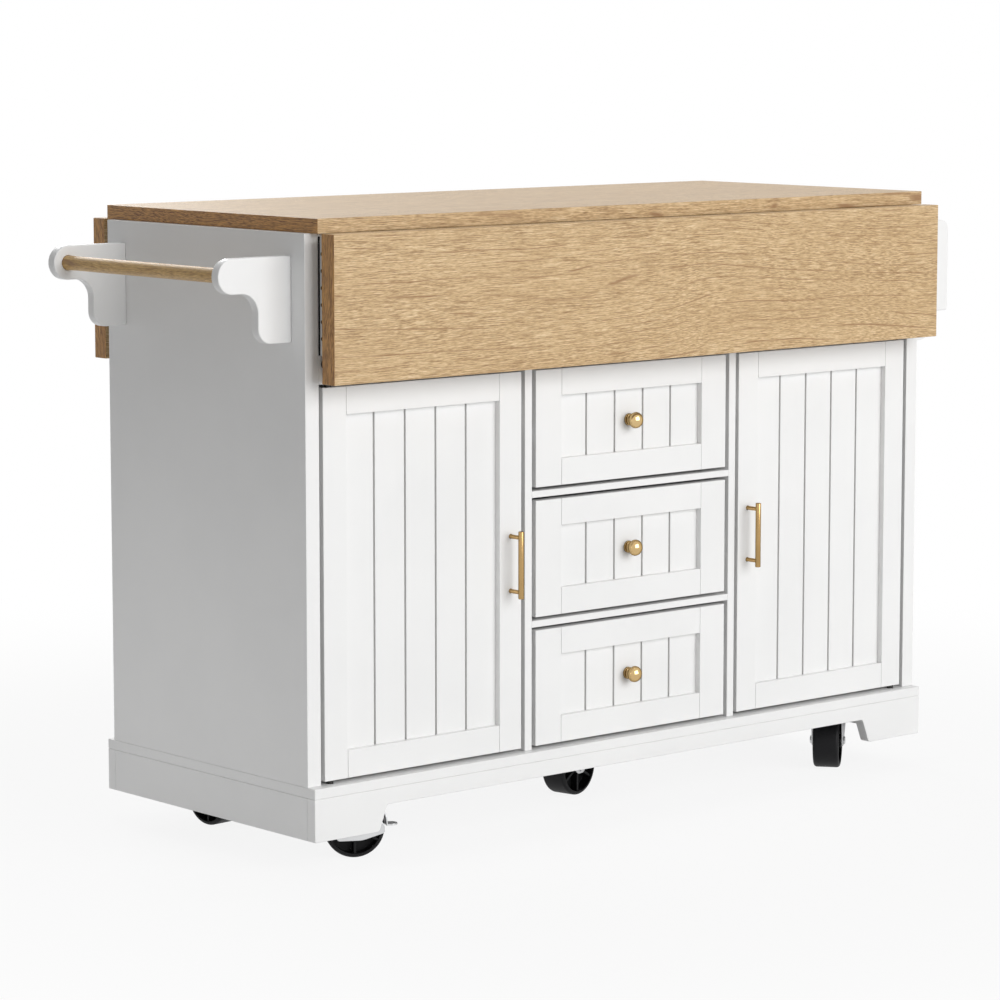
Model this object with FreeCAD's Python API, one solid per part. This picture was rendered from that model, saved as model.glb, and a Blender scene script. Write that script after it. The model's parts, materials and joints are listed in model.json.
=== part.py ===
import FreeCAD, Part
import math
import os

# Rolling kitchen island with two drop leaves.
# Front is -Y, +Z is up, the floor is z = 0 and the origin lies under the middle of the cabinet.
# All lengths are in millimetres and all angles in degrees.

# Overall sizes
total_height = 931.0
body_length = 1250.0
body_depth = 472.0
worktop_thickness = 21.0
worktop_overhang = 16.0
worktop_end_setback = 11.0

# Carcass boards
side_thickness = 24.0
partition_thickness = 14.0
drawer_bay_width = 405.0
back_thickness = 12.0
fascia_height = 212.0
fascia_thickness = 15.0
divider_thickness = 10.0
divider_depth = 60.0

# Cupboard shelves and their pins
shelf_thickness = 15.0
shelf_rise = 290.0
shelf_setback = 40.0
shelf_end_gap = 0.4
shelf_pin_radius = 2.5
shelf_pin_length = 16.0
shelf_pin_hole_depth = 8.0
shelf_pin_inset = 45.0

# Base board and skirts
base_overhang = 16.0
base_board_thickness = 15.0
skirt_thickness = 18.0
skirt_clearance = 50.0
arch_rise = 38.0
foot_width = 117.5
foot_slant = 15.0
foot_corner_radius = 6.0

# Framed fronts of the doors and drawers
front_thickness = 18.0
side_gap = 7.0
drawer_side_gap = 7.5
level_gap = 5.0
panel_thickness = 6.0
panel_back_gap = 2.5
panel_tongue = 6.0
slat_count = 5
groove_width = 3.4
groove_depth = 4.0
rail_width = 40.0
door_stile_width = 42.0
drawer_stile_width = 51.0

# Door pivots
pivot_inset = 14.0
pivot_setback = 7.0
pivot_radius = 3.0
pivot_embed = 15.0
bush_radius = 5.0
bush_depth = 8.0
seat_clearance = 0.3
running_clearance = 0.05

# Door handles
handle_radius = 4.2
handle_length = 100.0
handle_post_radius = 3.2
handle_post_spacing = 81.0
handle_standoff = 23.5
handle_drop = 1.5

# Drawers
drawer_count = 3
box_wall = 12.0
box_lift = 22.0
box_top_gap = 41.0
box_back_gap = 42.0
box_bottom_thickness = 5.0
box_bottom_lift = 8.0
slide_space = 13.0
channel_wall = 1.5
channel_height = 32.0
channel_reach = 10.5
rail_back_gap = 1.0

# Drawer knobs
knob_base_radius = 9.0
knob_base_height = 3.5
knob_neck_radius = 4.5
knob_neck_length = 7.0
knob_head_radius = 12.0
knob_head_length = 15.0
knob_crown_radius = 8.5
knob_under_radius = 5.0
knob_stud_radius = 2.0

# Drop leaves and their hinges
leaf_thickness = 28.0
leaf_width = 209.5
leaf_edge_gap = 0.6
hinge_reach = 8.1
hinge_count = 4
hinge_end_inset = 134.0
hinge_length = 56.0
hinge_sheet_thickness = 2.0
hinge_knuckle_radius = 3.5
hinge_middle_length = 20.0
hinge_pin_radius = 1.5
hinge_flange_depth = 13.0
hinge_edge_setback = 1.0
hinge_flap_length = 36.0
hinge_mortise_clearance = 0.6

# Folding leaf supports
support_inset = 1.5
support_channel_width = 22.0
support_channel_depth = 14.0
support_channel_wall = 2.0
support_channel_length = 166.0
support_channel_drop = 5.0
support_hole_count = 6
support_hole_pitch = 23.7
support_first_hole = 24.0
pivot_hole_count = 2
support_pin_radius = 2.0
arm_thickness = 6.0
arm_boss_radius = 4.5
arm_clearance = 0.5
arm_side_clearance = 2.0
arm_tip_gap = 5.9

# Racks on the two ends
rack_reach = 127.0
rack_drop = 53.0
rack_board_thickness = 16.0
towel_bracket_spread = 412.0
towel_bracket_height = 121.5
towel_tip_height = 50.0
towel_foot_reach = 58.0
towel_cove_radius = 29.0
towel_foot_radius = 22.0
towel_bar_radius = 10.5
towel_bar_embed = 8.0
spice_rack_spread = 370.0
spice_end_height = 194.0
spice_front_height = 148.0
spice_corner_radius = 15.0
spice_foot_reach = 84.0
spice_cove_radius = 24.0
spice_foot_radius = 20.0
spice_shelf_thickness = 12.0
spice_rail_height = 28.0
spice_rail_thickness = 10.0
spice_rail_rise = 34.0
spice_front_setback = 4.0

# Casters
wheel_radius = 44.0
wheel_width = 42.0
wheel_shoulder_radius = 5.0
wheel_rim_thickness = 6.0
wheel_web_thickness = 10.0
wheel_hub_radius = 11.0
wheel_hub_proud = 1.0
wheel_rib_count = 6
wheel_rib_thickness = 4.0
wheel_rib_setback = 3.0
caster_trail = 25.0
axle_radius = 4.0
axle_head_radius = 7.0
axle_head_height = 3.0
fork_sheet_thickness = 2.5
fork_gap = 1.0
fork_crown_height = 4.5
fork_crown_back = 24.0
fork_crown_front = 46.0
fork_back_rise = 28.0
fork_corner_radius = 6.0
fork_hem_drop = 18.0
fork_hem_back = 26.0
fork_hem_front = 10.0
fork_hem_radius = 40.0
fork_shoulder_reach = 32.0
fork_shoulder_rise = 18.0
fork_flare_reach = 43.0
fork_flare_rise = 3.0
fork_flare_drop = 8.0
fork_flare_radius = 5.0
fork_lobe_radius = 9.0
race_radius = 19.0
race_height = 4.0
kingpin_radius = 5.0
kingpin_head_radius = 9.0
kingpin_head_height = 3.0
plate_size = 60.0
plate_thickness = 3.0
plate_screw_spacing = 44.0
plate_screw_radius = 2.0
plate_screw_head_radius = 4.0
plate_screw_head_height = 2.5
plate_screw_embed = 9.0
caster_head_height = 24.0
caster_swing_clearance = 7.0
caster_end_clearance = 25.0
middle_caster_side_distance = 12.0
middle_caster_front_distance = 58.0

# Brake pedals
pedal_clearance = 3.5
pedal_thickness = 2.5
pedal_width = 20.0
pedal_tab_reach = 18.0
pedal_tab_drop = 1.0
pedal_tab_thickness = 2.5
pedal_tab_radius = 9.0
pedal_boss_radius = 5.0
pedal_pin_radius = 2.0
pedal_angle = 80.0

# Rest direction of each caster's trail, and which ones carry a brake
caster_yaws = {
    "front_left": -29.6,
    "front_right": -141.0,
    "rear_left": -85.0,
    "rear_right": -60.0,
    "middle": 12.0,
}
braked_casters = ["front_left", "rear_right"]

# One overrun serves all cuts, one tolerance tells coinciding points
cut_overrun = 1.0
point_tolerance = 0.0001
full_turn = 360.0
right_angle = 90.0

# Places worked out from the sizes
half_body = body_length / 2
side_inner = half_body - side_thickness
bay_half = drawer_bay_width / 2
partition_outer = bay_half + partition_thickness
worktop_length = body_length - 2 * worktop_end_setback
worktop_depth = body_depth + 2 * worktop_overhang
base_depth = body_depth + 2 * base_overhang
front_face = -body_depth / 2
back_face = body_depth / 2
back_inner = back_face - back_thickness
worktop_underside = total_height - worktop_thickness
fascia_underside = worktop_underside - fascia_height
base_underside = 2 * wheel_radius + caster_head_height
base_top = base_underside + base_board_thickness
opening_height = fascia_underside - base_top
panel_face = front_face + front_thickness - panel_thickness - panel_back_gap
pivot_y = front_face + pivot_setback
pivot_x = side_inner - side_gap - pivot_inset
drawer_height = (
    opening_height - (drawer_count - 1) * divider_thickness - 2 * drawer_count * level_gap
) / drawer_count
drawer_pitch = drawer_height + 2 * level_gap + divider_thickness
box_half = bay_half - slide_space
box_front = front_face + front_thickness
box_length = back_inner - box_back_gap - box_front
box_height = drawer_height - box_lift - box_top_gap
handle_height = (base_top + fascia_underside) / 2 - handle_drop
hinge_y = -(worktop_depth / 2 + hinge_reach)
hinge_z = total_height - leaf_thickness
leaf_face = hinge_y
leaf_top = hinge_z + hinge_reach - leaf_edge_gap
support_top = worktop_underside - support_channel_drop
support_pivot_standoff = support_channel_wall + arm_boss_radius + arm_clearance
support_pivot_y = front_face - support_pivot_standoff
support_pivot_z = support_top - support_first_hole - pivot_hole_count * support_hole_pitch
arm_tip_radius = support_pivot_standoff - arm_clearance
arm_tip_width = support_channel_width - 2 * support_channel_wall
arm_width = arm_tip_width - 2 * arm_side_clearance
arm_tip_z = support_top - support_channel_length - arm_tip_gap - arm_tip_radius
arm_length = support_pivot_z - arm_tip_z
wheel_hub_width = wheel_width + 2 * wheel_hub_proud
cheek_inner = wheel_hub_width / 2 + fork_gap
cheek_outer = cheek_inner + fork_sheet_thickness
plate_underside = base_underside - plate_thickness
race_underside = plate_underside - race_height
crown_top = race_underside - seat_clearance
crown_underside = crown_top - fork_crown_height
caster_reach = caster_trail + wheel_radius + skirt_thickness
rack_top = total_height - rack_drop
spice_step = rack_top - spice_front_height

Vector = FreeCAD.Vector
origin = Vector(0, 0, 0)
x_axis = Vector(1, 0, 0)
y_axis = Vector(0, 1, 0)
z_axis = Vector(0, 0, 1)


def block(x_span, y_span, z_span):
    """Box between two limits on each axis, given in either order."""
    spans = (x_span, y_span, z_span)
    low = Vector(*[min(span) for span in spans])
    size = [abs(span[1] - span[0]) for span in spans]
    return Part.makeBox(size[0], size[1], size[2], low)


def rod(start, end, radius):
    """Round bar between two points."""
    along = end - start
    return Part.makeCylinder(radius, along.Length, start, along)


def corner_points(before, here, after, radius):
    """Start, middle and end of the arc that rounds one corner, or the bare corner."""
    if radius == 0:
        return [here]
    to_before = (before - here).normalize()
    to_after = (after - here).normalize()
    half_angle = to_before.getAngle(to_after) / 2
    bisector = (to_before + to_after).normalize()
    tangent = radius / math.tan(half_angle)
    middle = here + bisector * (radius / math.sin(half_angle) - radius)
    return [here + to_before * tangent, middle, here + to_after * tangent]


def outline_face(corners, place):
    """Face inside straight runs and tangent arcs; a corner is (u, v, radius), place gives its point."""
    points = [place(u, v) for u, v, radius in corners]
    count = len(points)
    arcs = []
    for index in range(count):
        after = points[(index + 1) % count]
        arcs.append(corner_points(points[index - 1], points[index], after, corners[index][2]))
    edges = []
    for index in range(count):
        if len(arcs[index - 1]) > 1:
            edges.append(Part.Arc(*arcs[index - 1]).toShape())
        start = arcs[index - 1][-1]
        end = arcs[index][0]
        if start.distanceToPoint(end) > point_tolerance:
            edges.append(Part.LineSegment(start, end).toShape())
    return Part.Face(Part.Wire(edges))


def upright_board(corners, y_low, thickness):
    """Board cut to an outline in X and Z, thickness measured towards +Y."""
    face = outline_face(corners, lambda u, v: Vector(u, y_low, v))
    return face.extrude(y_axis * thickness)


def turned(corners):
    """Solid turned about the Y axis from an outline of (radius, y, corner radius)."""
    face = outline_face(corners, lambda u, v: Vector(u, v, 0))
    return face.revolve(origin, y_axis, full_turn)


def joined(solids):
    """One solid from several that touch or overlap."""
    return solids[0].multiFuse(solids[1:]).removeSplitter()


def cut_all(solid, tools):
    """A solid with every tool cut out of it."""
    return solid.cut(Part.makeCompound(tools)) if tools else solid


def front_to_rear(solids):
    """Copies mirrored from the front to the rear."""
    return [solid.mirror(origin, y_axis) for solid in solids]


def left_to_right(solids):
    """Copies mirrored from one end to the other."""
    return [solid.mirror(origin, x_axis) for solid in solids]


def save(node, solids):
    """Write one node's solids to its STEP file."""
    shape = solids[0] if len(solids) == 1 else Part.makeCompound(solids)
    shape.exportStep("parts/" + node + ".step")


# Cupboard shelves

def shelf_limits():
    """X, Y and Z limits of the shelf in the right-hand cupboard."""
    x_span = (partition_outer + shelf_end_gap, side_inner - shelf_end_gap)
    y_span = (front_face + shelf_setback, back_inner)
    low = base_top + shelf_rise
    return x_span, y_span, (low, low + shelf_thickness)


def make_shelves():
    """One shelf in each cupboard."""
    shelf = block(*shelf_limits())
    return [shelf] + left_to_right([shelf])


def make_shelf_pins():
    """Four round pins under each shelf, half of each in its board."""
    x_span, y_span, z_span = shelf_limits()
    pin_z = z_span[0] - shelf_pin_radius
    pins = []
    for pin_y in (y_span[0] + shelf_pin_inset, y_span[1] - shelf_pin_inset):
        for wall, inward in ((partition_outer, 1), (side_inner, -1)):
            start = Vector(wall - inward * shelf_pin_hole_depth, pin_y, pin_z)
            end = start + x_axis * (inward * shelf_pin_length)
            pins.append(rod(start, end, shelf_pin_radius))
    return pins + left_to_right(pins)


# Carcass

def make_worktop():
    """Oak-faced board on top of the cabinet."""
    x_span = (-worktop_length / 2, worktop_length / 2)
    y_span = (-worktop_depth / 2, worktop_depth / 2)
    return [block(x_span, y_span, (worktop_underside, total_height))]


def make_side_panels():
    """Two end boards, drilled for the shelf pins."""
    board = block((side_inner, half_body), (front_face, back_face), (base_top, worktop_underside))
    board = cut_all(board, make_shelf_pins())
    return [board] + left_to_right([board])


def make_partitions():
    """Two upright boards beside the drawers, notched for the fascia."""
    board = block((bay_half, partition_outer), (front_face, back_inner), (base_top, worktop_underside))
    board = cut_all(board, [plain_fascia()] + make_shelf_pins())
    return [board] + left_to_right([board])


def make_back_panel():
    """Plain board that closes the rear."""
    return [block((-side_inner, side_inner), (back_inner, back_face), (base_top, worktop_underside))]


def plain_fascia():
    """Fascia board before its bush holes are drilled."""
    y_span = (front_face, front_face + fascia_thickness)
    return block((-side_inner, side_inner), y_span, (fascia_underside, worktop_underside))


def make_fascia():
    """Board behind the front leaf, above the doors and drawers."""
    return [cut_all(plain_fascia(), bush_blanks())]


def make_dividers():
    """Rails between the drawers."""
    rails = []
    for index in range(1, drawer_count):
        low = base_top + index * drawer_pitch - divider_thickness
        y_span = (front_face, front_face + divider_depth)
        rails.append(block((-bay_half, bay_half), y_span, (low, low + divider_thickness)))
    return rails


def make_base_board():
    """Board that carries the cabinet, drilled for the door bushes and the caster screws."""
    y_span = (-base_depth / 2, base_depth / 2)
    board = block((-half_body, half_body), y_span, (base_underside, base_top))
    return [cut_all(board, bush_blanks() + all_plate_screws())]


def make_front_skirt():
    """Front skirt board, cut to an arch between two bracket feet."""
    arch_top = skirt_clearance + arch_rise
    foot_low = half_body - foot_width
    foot_high = foot_low - foot_slant
    corners = [
        (-half_body, skirt_clearance, 0),
        (-foot_low, skirt_clearance, foot_corner_radius),
        (-foot_high, arch_top, foot_corner_radius),
        (foot_high, arch_top, foot_corner_radius),
        (foot_low, skirt_clearance, foot_corner_radius),
        (half_body, skirt_clearance, 0),
        (half_body, base_underside, 0),
        (-half_body, base_underside, 0),
    ]
    return [upright_board(corners, -base_depth / 2, skirt_thickness)]


def make_end_skirts():
    """Straight skirt boards at the two ends, between the front and rear ones."""
    inner = base_depth / 2 - skirt_thickness
    board = block(
        (half_body - skirt_thickness, half_body), (-inner, inner), (skirt_clearance, base_underside)
    )
    return [board] + left_to_right([board])


# Framed fronts

def framed_front(x_span, z_span, stile_width):
    """Two stiles, two rails and a grooved panel let into them from behind."""
    y_span = (front_face, front_face + front_thickness)
    gap_x = (x_span[0] + stile_width, x_span[1] - stile_width)
    gap_z = (z_span[0] + rail_width, z_span[1] - rail_width)
    panel_x = (gap_x[0] - panel_tongue, gap_x[1] + panel_tongue)
    panel_z = (gap_z[0] - panel_tongue, gap_z[1] + panel_tongue)
    panel = block(panel_x, (panel_face, panel_face + panel_thickness), panel_z)
    rebate = block(panel_x, (panel_face, y_span[1] + cut_overrun), panel_z)
    frame = [
        block((x_span[0], gap_x[0]), y_span, z_span),
        block((gap_x[1], x_span[1]), y_span, z_span),
        block(gap_x, y_span, (z_span[0], gap_z[0])),
        block(gap_x, y_span, (gap_z[1], z_span[1])),
    ]
    frame = [member.cut(rebate) for member in frame]
    slat = (gap_x[1] - gap_x[0]) / slat_count
    grooves = [panel_groove(gap_x[0] + index * slat, panel_z) for index in range(1, slat_count)]
    return frame, cut_all(panel, grooves)


def panel_groove(groove_x, z_span):
    """Square cutter for one groove between two slats."""
    half = groove_width / 2
    return block(
        (groove_x - half, groove_x + half),
        (panel_face - cut_overrun, panel_face + groove_depth),
        (z_span[0] - cut_overrun, z_span[1] + cut_overrun),
    )


def door_limits():
    """X and Z limits of the right-hand door."""
    x_span = (partition_outer + side_gap, side_inner - side_gap)
    z_span = (base_top + level_gap, fascia_underside - level_gap)
    return x_span, z_span


def make_right_door():
    """Frame and panel of the right-hand door, drilled for its pivots."""
    x_span, z_span = door_limits()
    frame, panel = framed_front(x_span, z_span, door_stile_width)
    frame = [cut_all(member, make_right_pivots()) for member in frame]
    return frame + [panel]


def make_right_pivots():
    """Pins in the lower and upper edge of the right-hand door."""
    x_span, z_span = door_limits()
    pins = []
    for edge, outward in ((z_span[0], -1), (z_span[1], 1)):
        inner = Vector(pivot_x, pivot_y, edge - outward * pivot_embed)
        outer = Vector(pivot_x, pivot_y, edge + outward * (level_gap + bush_depth - seat_clearance))
        pins.append(rod(inner, outer, pivot_radius))
    return pins


def right_bush_blanks():
    """Outer shapes of the bushes under and over the right-hand door."""
    x_span, z_span = door_limits()
    blanks = []
    for edge, outward in ((z_span[0], -1), (z_span[1], 1)):
        inner = Vector(pivot_x, pivot_y, edge + outward * seat_clearance)
        outer = Vector(pivot_x, pivot_y, edge + outward * (level_gap + bush_depth))
        blanks.append(rod(inner, outer, bush_radius))
    return blanks


def bush_blanks():
    """Outer shapes of all four door bushes."""
    blanks = right_bush_blanks()
    return blanks + left_to_right(blanks)


def make_bushes():
    """Four bushes that the door pivots turn in."""
    x_span, z_span = door_limits()
    bore = rod(
        Vector(pivot_x, pivot_y, z_span[0] - level_gap - bush_depth + seat_clearance - running_clearance),
        Vector(pivot_x, pivot_y, z_span[1] + level_gap + bush_depth - seat_clearance + running_clearance),
        pivot_radius + running_clearance,
    )
    bushes = [blank.cut(bore) for blank in right_bush_blanks()]
    return bushes + left_to_right(bushes)


def make_right_handle():
    """Round bar on two posts, on the right-hand door's free stile."""
    x_span, z_span = door_limits()
    handle_x = x_span[0] + door_stile_width / 2
    bar_y = front_face - handle_standoff
    low = Vector(handle_x, bar_y, handle_height - handle_length / 2)
    solids = [rod(low, low + z_axis * handle_length, handle_radius)]
    for sign in (-1, 1):
        root = Vector(handle_x, front_face, handle_height + sign * handle_post_spacing / 2)
        solids.append(rod(root, root - y_axis * handle_standoff, handle_post_radius))
    return [joined(solids)]


# Drawers

def drawer_bottom(index):
    """Height of a drawer front's lower edge, counted from the lowest drawer."""
    return base_top + level_gap + index * drawer_pitch


def make_drawer_front(index):
    """Frame and panel of one drawer, with a hole for the knob's stud."""
    half = bay_half - drawer_side_gap
    low = drawer_bottom(index)
    frame, panel = framed_front((-half, half), (low, low + drawer_height), drawer_stile_width)
    return frame + [panel.cut(knob_stud(index))]


def knob_centre(index):
    """Middle of the drawer's panel, on its face."""
    return Vector(0, panel_face, drawer_bottom(index) + drawer_height / 2)


def knob_stud(index):
    """Threaded stud that holds the knob to the panel."""
    start = knob_centre(index)
    return rod(start, start + y_axis * panel_thickness, knob_stud_radius)


def make_knob(index):
    """Turned knob with a round base, a neck and a mushroom head."""
    neck_end = -(knob_base_height + knob_neck_length)
    tip = neck_end - knob_head_length
    corners = [
        (0, 0, 0),
        (knob_base_radius, 0, 0),
        (knob_base_radius, -knob_base_height, 0),
        (knob_neck_radius, -knob_base_height, 0),
        (knob_neck_radius, neck_end, 0),
        (knob_head_radius, neck_end, knob_under_radius),
        (knob_head_radius, tip, knob_crown_radius),
        (0, tip, 0),
    ]
    knob = turned(corners)
    knob.translate(knob_centre(index))
    return [joined([knob, knob_stud(index)])]


def make_drawer_box(index):
    """Two sides, inner front, back and bottom of one drawer."""
    low = drawer_bottom(index) + box_lift
    z_span = (low, low + box_height)
    back = box_front + box_length
    inner = box_half - box_wall
    floor_low = low + box_bottom_lift
    return [
        block((-box_half, -inner), (box_front, back), z_span),
        block((inner, box_half), (box_front, back), z_span),
        block((-inner, inner), (box_front, box_front + box_wall), z_span),
        block((-inner, inner), (back - box_wall, back), z_span),
        block(
            (-inner, inner),
            (box_front + box_wall, back - box_wall),
            (floor_low, floor_low + box_bottom_thickness),
        ),
    ]


def runner_middle(index):
    """Height of the middle of a drawer's runners."""
    return drawer_bottom(index) + box_lift + box_height / 2


def make_drawer_rails(index):
    """Two bars on a drawer's sides that ride in the channels."""
    half = channel_height / 2 - channel_wall - seat_clearance
    middle = runner_middle(index)
    outer = bay_half - channel_wall - rail_back_gap
    rail = block((box_half, outer), (box_front, box_front + box_length), (middle - half, middle + half))
    return [rail] + left_to_right([rail])


def make_runner_channels():
    """Two channels for each drawer, fixed to the partitions."""
    channels = []
    for index in range(drawer_count):
        middle = runner_middle(index)
        half = channel_height / 2
        y_span = (box_front, box_front + box_length)
        outer = block((bay_half - channel_reach, bay_half), y_span, (middle - half, middle + half))
        inside_x = (bay_half - channel_reach - cut_overrun, bay_half - channel_wall)
        inside_y = (y_span[0] - cut_overrun, y_span[1] + cut_overrun)
        inside_z = (middle - half + channel_wall, middle + half - channel_wall)
        channels.append(outer.cut(block(inside_x, inside_y, inside_z)))
    return channels + left_to_right(channels)


# Drop leaves

def hinge_places():
    """X of the middle of each leaf hinge."""
    first = hinge_end_inset - worktop_length / 2
    spacing = -2 * first / (hinge_count - 1)
    return [first + index * spacing for index in range(hinge_count)]


def on_hinge_line(x_low, x_high, radius):
    """Round bar on the front leaf's hinge line."""
    return rod(Vector(x_low, hinge_y, hinge_z), Vector(x_high, hinge_y, hinge_z), radius)


def make_front_leaf():
    """Front leaf, hanging, with a mortise for each hinge's knuckles."""
    board = block(
        (-worktop_length / 2, worktop_length / 2),
        (leaf_face - leaf_thickness, leaf_face),
        (leaf_top - leaf_width, leaf_top),
    )
    half = hinge_length / 2 + hinge_mortise_clearance
    radius = hinge_knuckle_radius + hinge_mortise_clearance
    mortises = [on_hinge_line(middle - half, middle + half, radius) for middle in hinge_places()]
    return [cut_all(board, mortises)]


def make_front_hinge_plate(middle):
    """Cranked plate under the worktop's edge, with a knuckle at each end, and its pin."""
    half = hinge_length / 2
    x_span = (middle - half, middle + half)
    edge = -(worktop_depth / 2 - hinge_edge_setback)
    flange_y = (edge, edge + hinge_flange_depth)
    leg_top = hinge_z - seat_clearance
    leg_z = (leg_top - hinge_sheet_thickness, leg_top)
    knuckle = half - hinge_middle_length / 2
    solids = [
        block(x_span, flange_y, (worktop_underside - hinge_sheet_thickness, worktop_underside)),
        block(x_span, (edge, edge + hinge_sheet_thickness), (leg_z[0], worktop_underside)),
    ]
    for start in (x_span[0], x_span[1] - knuckle):
        solids.append(block((start, start + knuckle), (hinge_y, edge + hinge_sheet_thickness), leg_z))
        solids.append(on_hinge_line(start, start + knuckle, hinge_knuckle_radius))
    bore = on_hinge_line(
        x_span[0] - cut_overrun, x_span[1] + cut_overrun, hinge_pin_radius + running_clearance
    )
    return [joined(solids).cut(bore), on_hinge_line(x_span[0], x_span[1], hinge_pin_radius)]


def make_hinge_plates():
    """Fixed halves of all leaf hinges, with their pins."""
    solids = []
    for middle in hinge_places():
        solids += make_front_hinge_plate(middle)
    return solids + front_to_rear(solids)


def make_front_flaps():
    """Moving halves of the front leaf's hinges."""
    flaps = []
    for middle in hinge_places():
        tongue = hinge_middle_length / 2 - seat_clearance
        flap_top = hinge_z - hinge_knuckle_radius - hinge_mortise_clearance
        flap_y = (leaf_face, leaf_face + hinge_sheet_thickness)
        half = hinge_length / 2
        solids = [
            block((middle - half, middle + half), flap_y, (hinge_z - hinge_flap_length, flap_top)),
            block((middle - tongue, middle + tongue), flap_y, (flap_top, hinge_z)),
            on_hinge_line(middle - tongue, middle + tongue, hinge_knuckle_radius),
        ]
        bore = on_hinge_line(
            middle - tongue - cut_overrun, middle + tongue + cut_overrun, hinge_pin_radius + running_clearance
        )
        flaps.append(joined(solids).cut(bore))
    return flaps


# Folding leaf supports

def support_outer():
    """X of the support channel's outer side, next to the right-hand side panel."""
    return side_inner - support_inset


def support_middle():
    """X of the middle of the right-hand support."""
    return support_outer() - support_channel_width / 2


def support_rod(width, y, z, radius):
    """Round bar across the front right support."""
    half = width / 2
    middle = support_middle()
    return rod(Vector(middle - half, y, z), Vector(middle + half, y, z), radius)


def make_front_channel():
    """Perforated channel on the fascia, open to the front, and the arm's pivot pin."""
    outer = support_outer()
    inner = outer - support_channel_width
    wall = support_channel_wall
    low = support_top - support_channel_length
    mouth = front_face - support_channel_depth
    channel = block((inner, outer), (mouth, front_face), (low, support_top))
    hollow = block(
        (inner + wall, outer - wall),
        (mouth - cut_overrun, front_face - wall),
        (low - cut_overrun, support_top + cut_overrun),
    )
    holes = []
    for index in range(support_hole_count):
        hole_z = support_top - support_first_hole - index * support_hole_pitch
        holes.append(
            support_rod(
                support_channel_width + 2 * cut_overrun,
                support_pivot_y,
                hole_z,
                support_pin_radius + running_clearance,
            )
        )
    pin = support_rod(support_channel_width, support_pivot_y, support_pivot_z, support_pin_radius)
    return [cut_all(channel, [hollow] + holes), pin]


def make_support_channels():
    """Channels and pivot pins of the four supports."""
    front = make_front_channel()
    front = front + left_to_right(front)
    return front + front_to_rear(front)


def front_tip():
    """Rubber roller at the end of the front right arm."""
    return support_rod(arm_tip_width, support_pivot_y, arm_tip_z, arm_tip_radius)


def make_front_arms():
    """Two arms that hang in the front channels and swing up under the leaf."""
    middle = support_middle()
    half = arm_width / 2
    thick = arm_thickness / 2
    arm = joined(
        [
            block(
                (middle - half, middle + half),
                (support_pivot_y - thick, support_pivot_y + thick),
                (arm_tip_z, support_pivot_z),
            ),
            support_rod(arm_width, support_pivot_y, support_pivot_z, arm_boss_radius),
        ]
    )
    bore = support_rod(
        arm_width + 2 * cut_overrun,
        support_pivot_y,
        support_pivot_z,
        support_pin_radius + running_clearance,
    )
    arm = cut_all(arm, [bore, front_tip()])
    return [arm] + left_to_right([arm])


def make_front_tips():
    """Rubber tips of the two front arms."""
    return [front_tip()] + left_to_right([front_tip()])


def support_travel():
    """Degrees that an arm swings while its leaf is raised by a right angle."""
    contact = total_height - leaf_thickness - seat_clearance - arm_tip_radius
    return right_angle + math.degrees(math.asin((contact - support_pivot_z) / arm_length))


# Racks on the ends

def towel_bar_end():
    """X and Z of the towel bar's middle line."""
    return -(half_body + rack_reach - towel_tip_height / 2), rack_top - towel_tip_height / 2


def plain_towel_bracket():
    """Scroll bracket at the front of the left end, before it is drilled."""
    wall = -half_body
    tip = wall - rack_reach
    foot = wall - towel_foot_reach
    low = rack_top - towel_bracket_height
    tip_low = rack_top - towel_tip_height
    tip_radius = towel_tip_height / 2
    corners = [
        (wall, rack_top, 0),
        (tip, rack_top, tip_radius),
        (tip, tip_low, tip_radius),
        (foot, tip_low, towel_cove_radius),
        (foot, low, towel_foot_radius),
        (wall, low, 0),
    ]
    return upright_board(corners, -towel_bracket_spread / 2, rack_board_thickness)


def make_towel_bar():
    """Round oak bar let into both brackets."""
    bar_x, bar_z = towel_bar_end()
    end = towel_bracket_spread / 2 - rack_board_thickness + towel_bar_embed
    return [rod(Vector(bar_x, -end, bar_z), Vector(bar_x, end, bar_z), towel_bar_radius)]


def make_towel_brackets():
    """Two scroll brackets with blind holes for the bar."""
    bracket = plain_towel_bracket()
    pair = [bracket] + front_to_rear([bracket])
    return [cut_all(board, make_towel_bar()) for board in pair]


def make_spice_ends():
    """Two end boards of the rack on the right."""
    wall = half_body
    outer = wall + rack_reach
    foot = wall + spice_foot_reach
    low = rack_top - spice_end_height
    corners = [
        (wall, rack_top, 0),
        (outer, rack_top, spice_corner_radius),
        (outer, spice_step, 0),
        (foot, spice_step, spice_cove_radius),
        (foot, low, spice_foot_radius),
        (wall, low, 0),
    ]
    board = upright_board(corners, -spice_rack_spread / 2, rack_board_thickness)
    return [board] + front_to_rear([board])


def make_spice_boards():
    """Shelf and guard rail between the end boards of the rack on the right."""
    half = spice_rack_spread / 2 - rack_board_thickness
    front = half_body + rack_reach - spice_front_setback
    rail_low = spice_step + spice_shelf_thickness + spice_rail_rise
    return [
        block((half_body, front), (-half, half), (spice_step, spice_step + spice_shelf_thickness)),
        block((front - spice_rail_thickness, front), (-half, half), (rail_low, rail_low + spice_rail_height)),
    ]


# Casters, each made on the Z axis with its wheel trailing towards +X

def caster_places():
    """Swivel position of each caster."""
    half_x = half_body - caster_reach - caster_end_clearance
    half_y = base_depth / 2 - caster_reach - caster_swing_clearance
    return {
        "front_left": Vector(-half_x, -half_y, 0),
        "front_right": Vector(half_x, -half_y, 0),
        "rear_left": Vector(-half_x, half_y, 0),
        "rear_right": Vector(half_x, half_y, 0),
        "middle": Vector(middle_caster_side_distance, -middle_caster_front_distance, 0),
    }


def placed(solids, name):
    """Caster pieces turned to their rest direction and moved to their swivel."""
    for solid in solids:
        solid.rotate(origin, z_axis, caster_yaws[name])
        solid.translate(caster_places()[name])
    return solids


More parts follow.
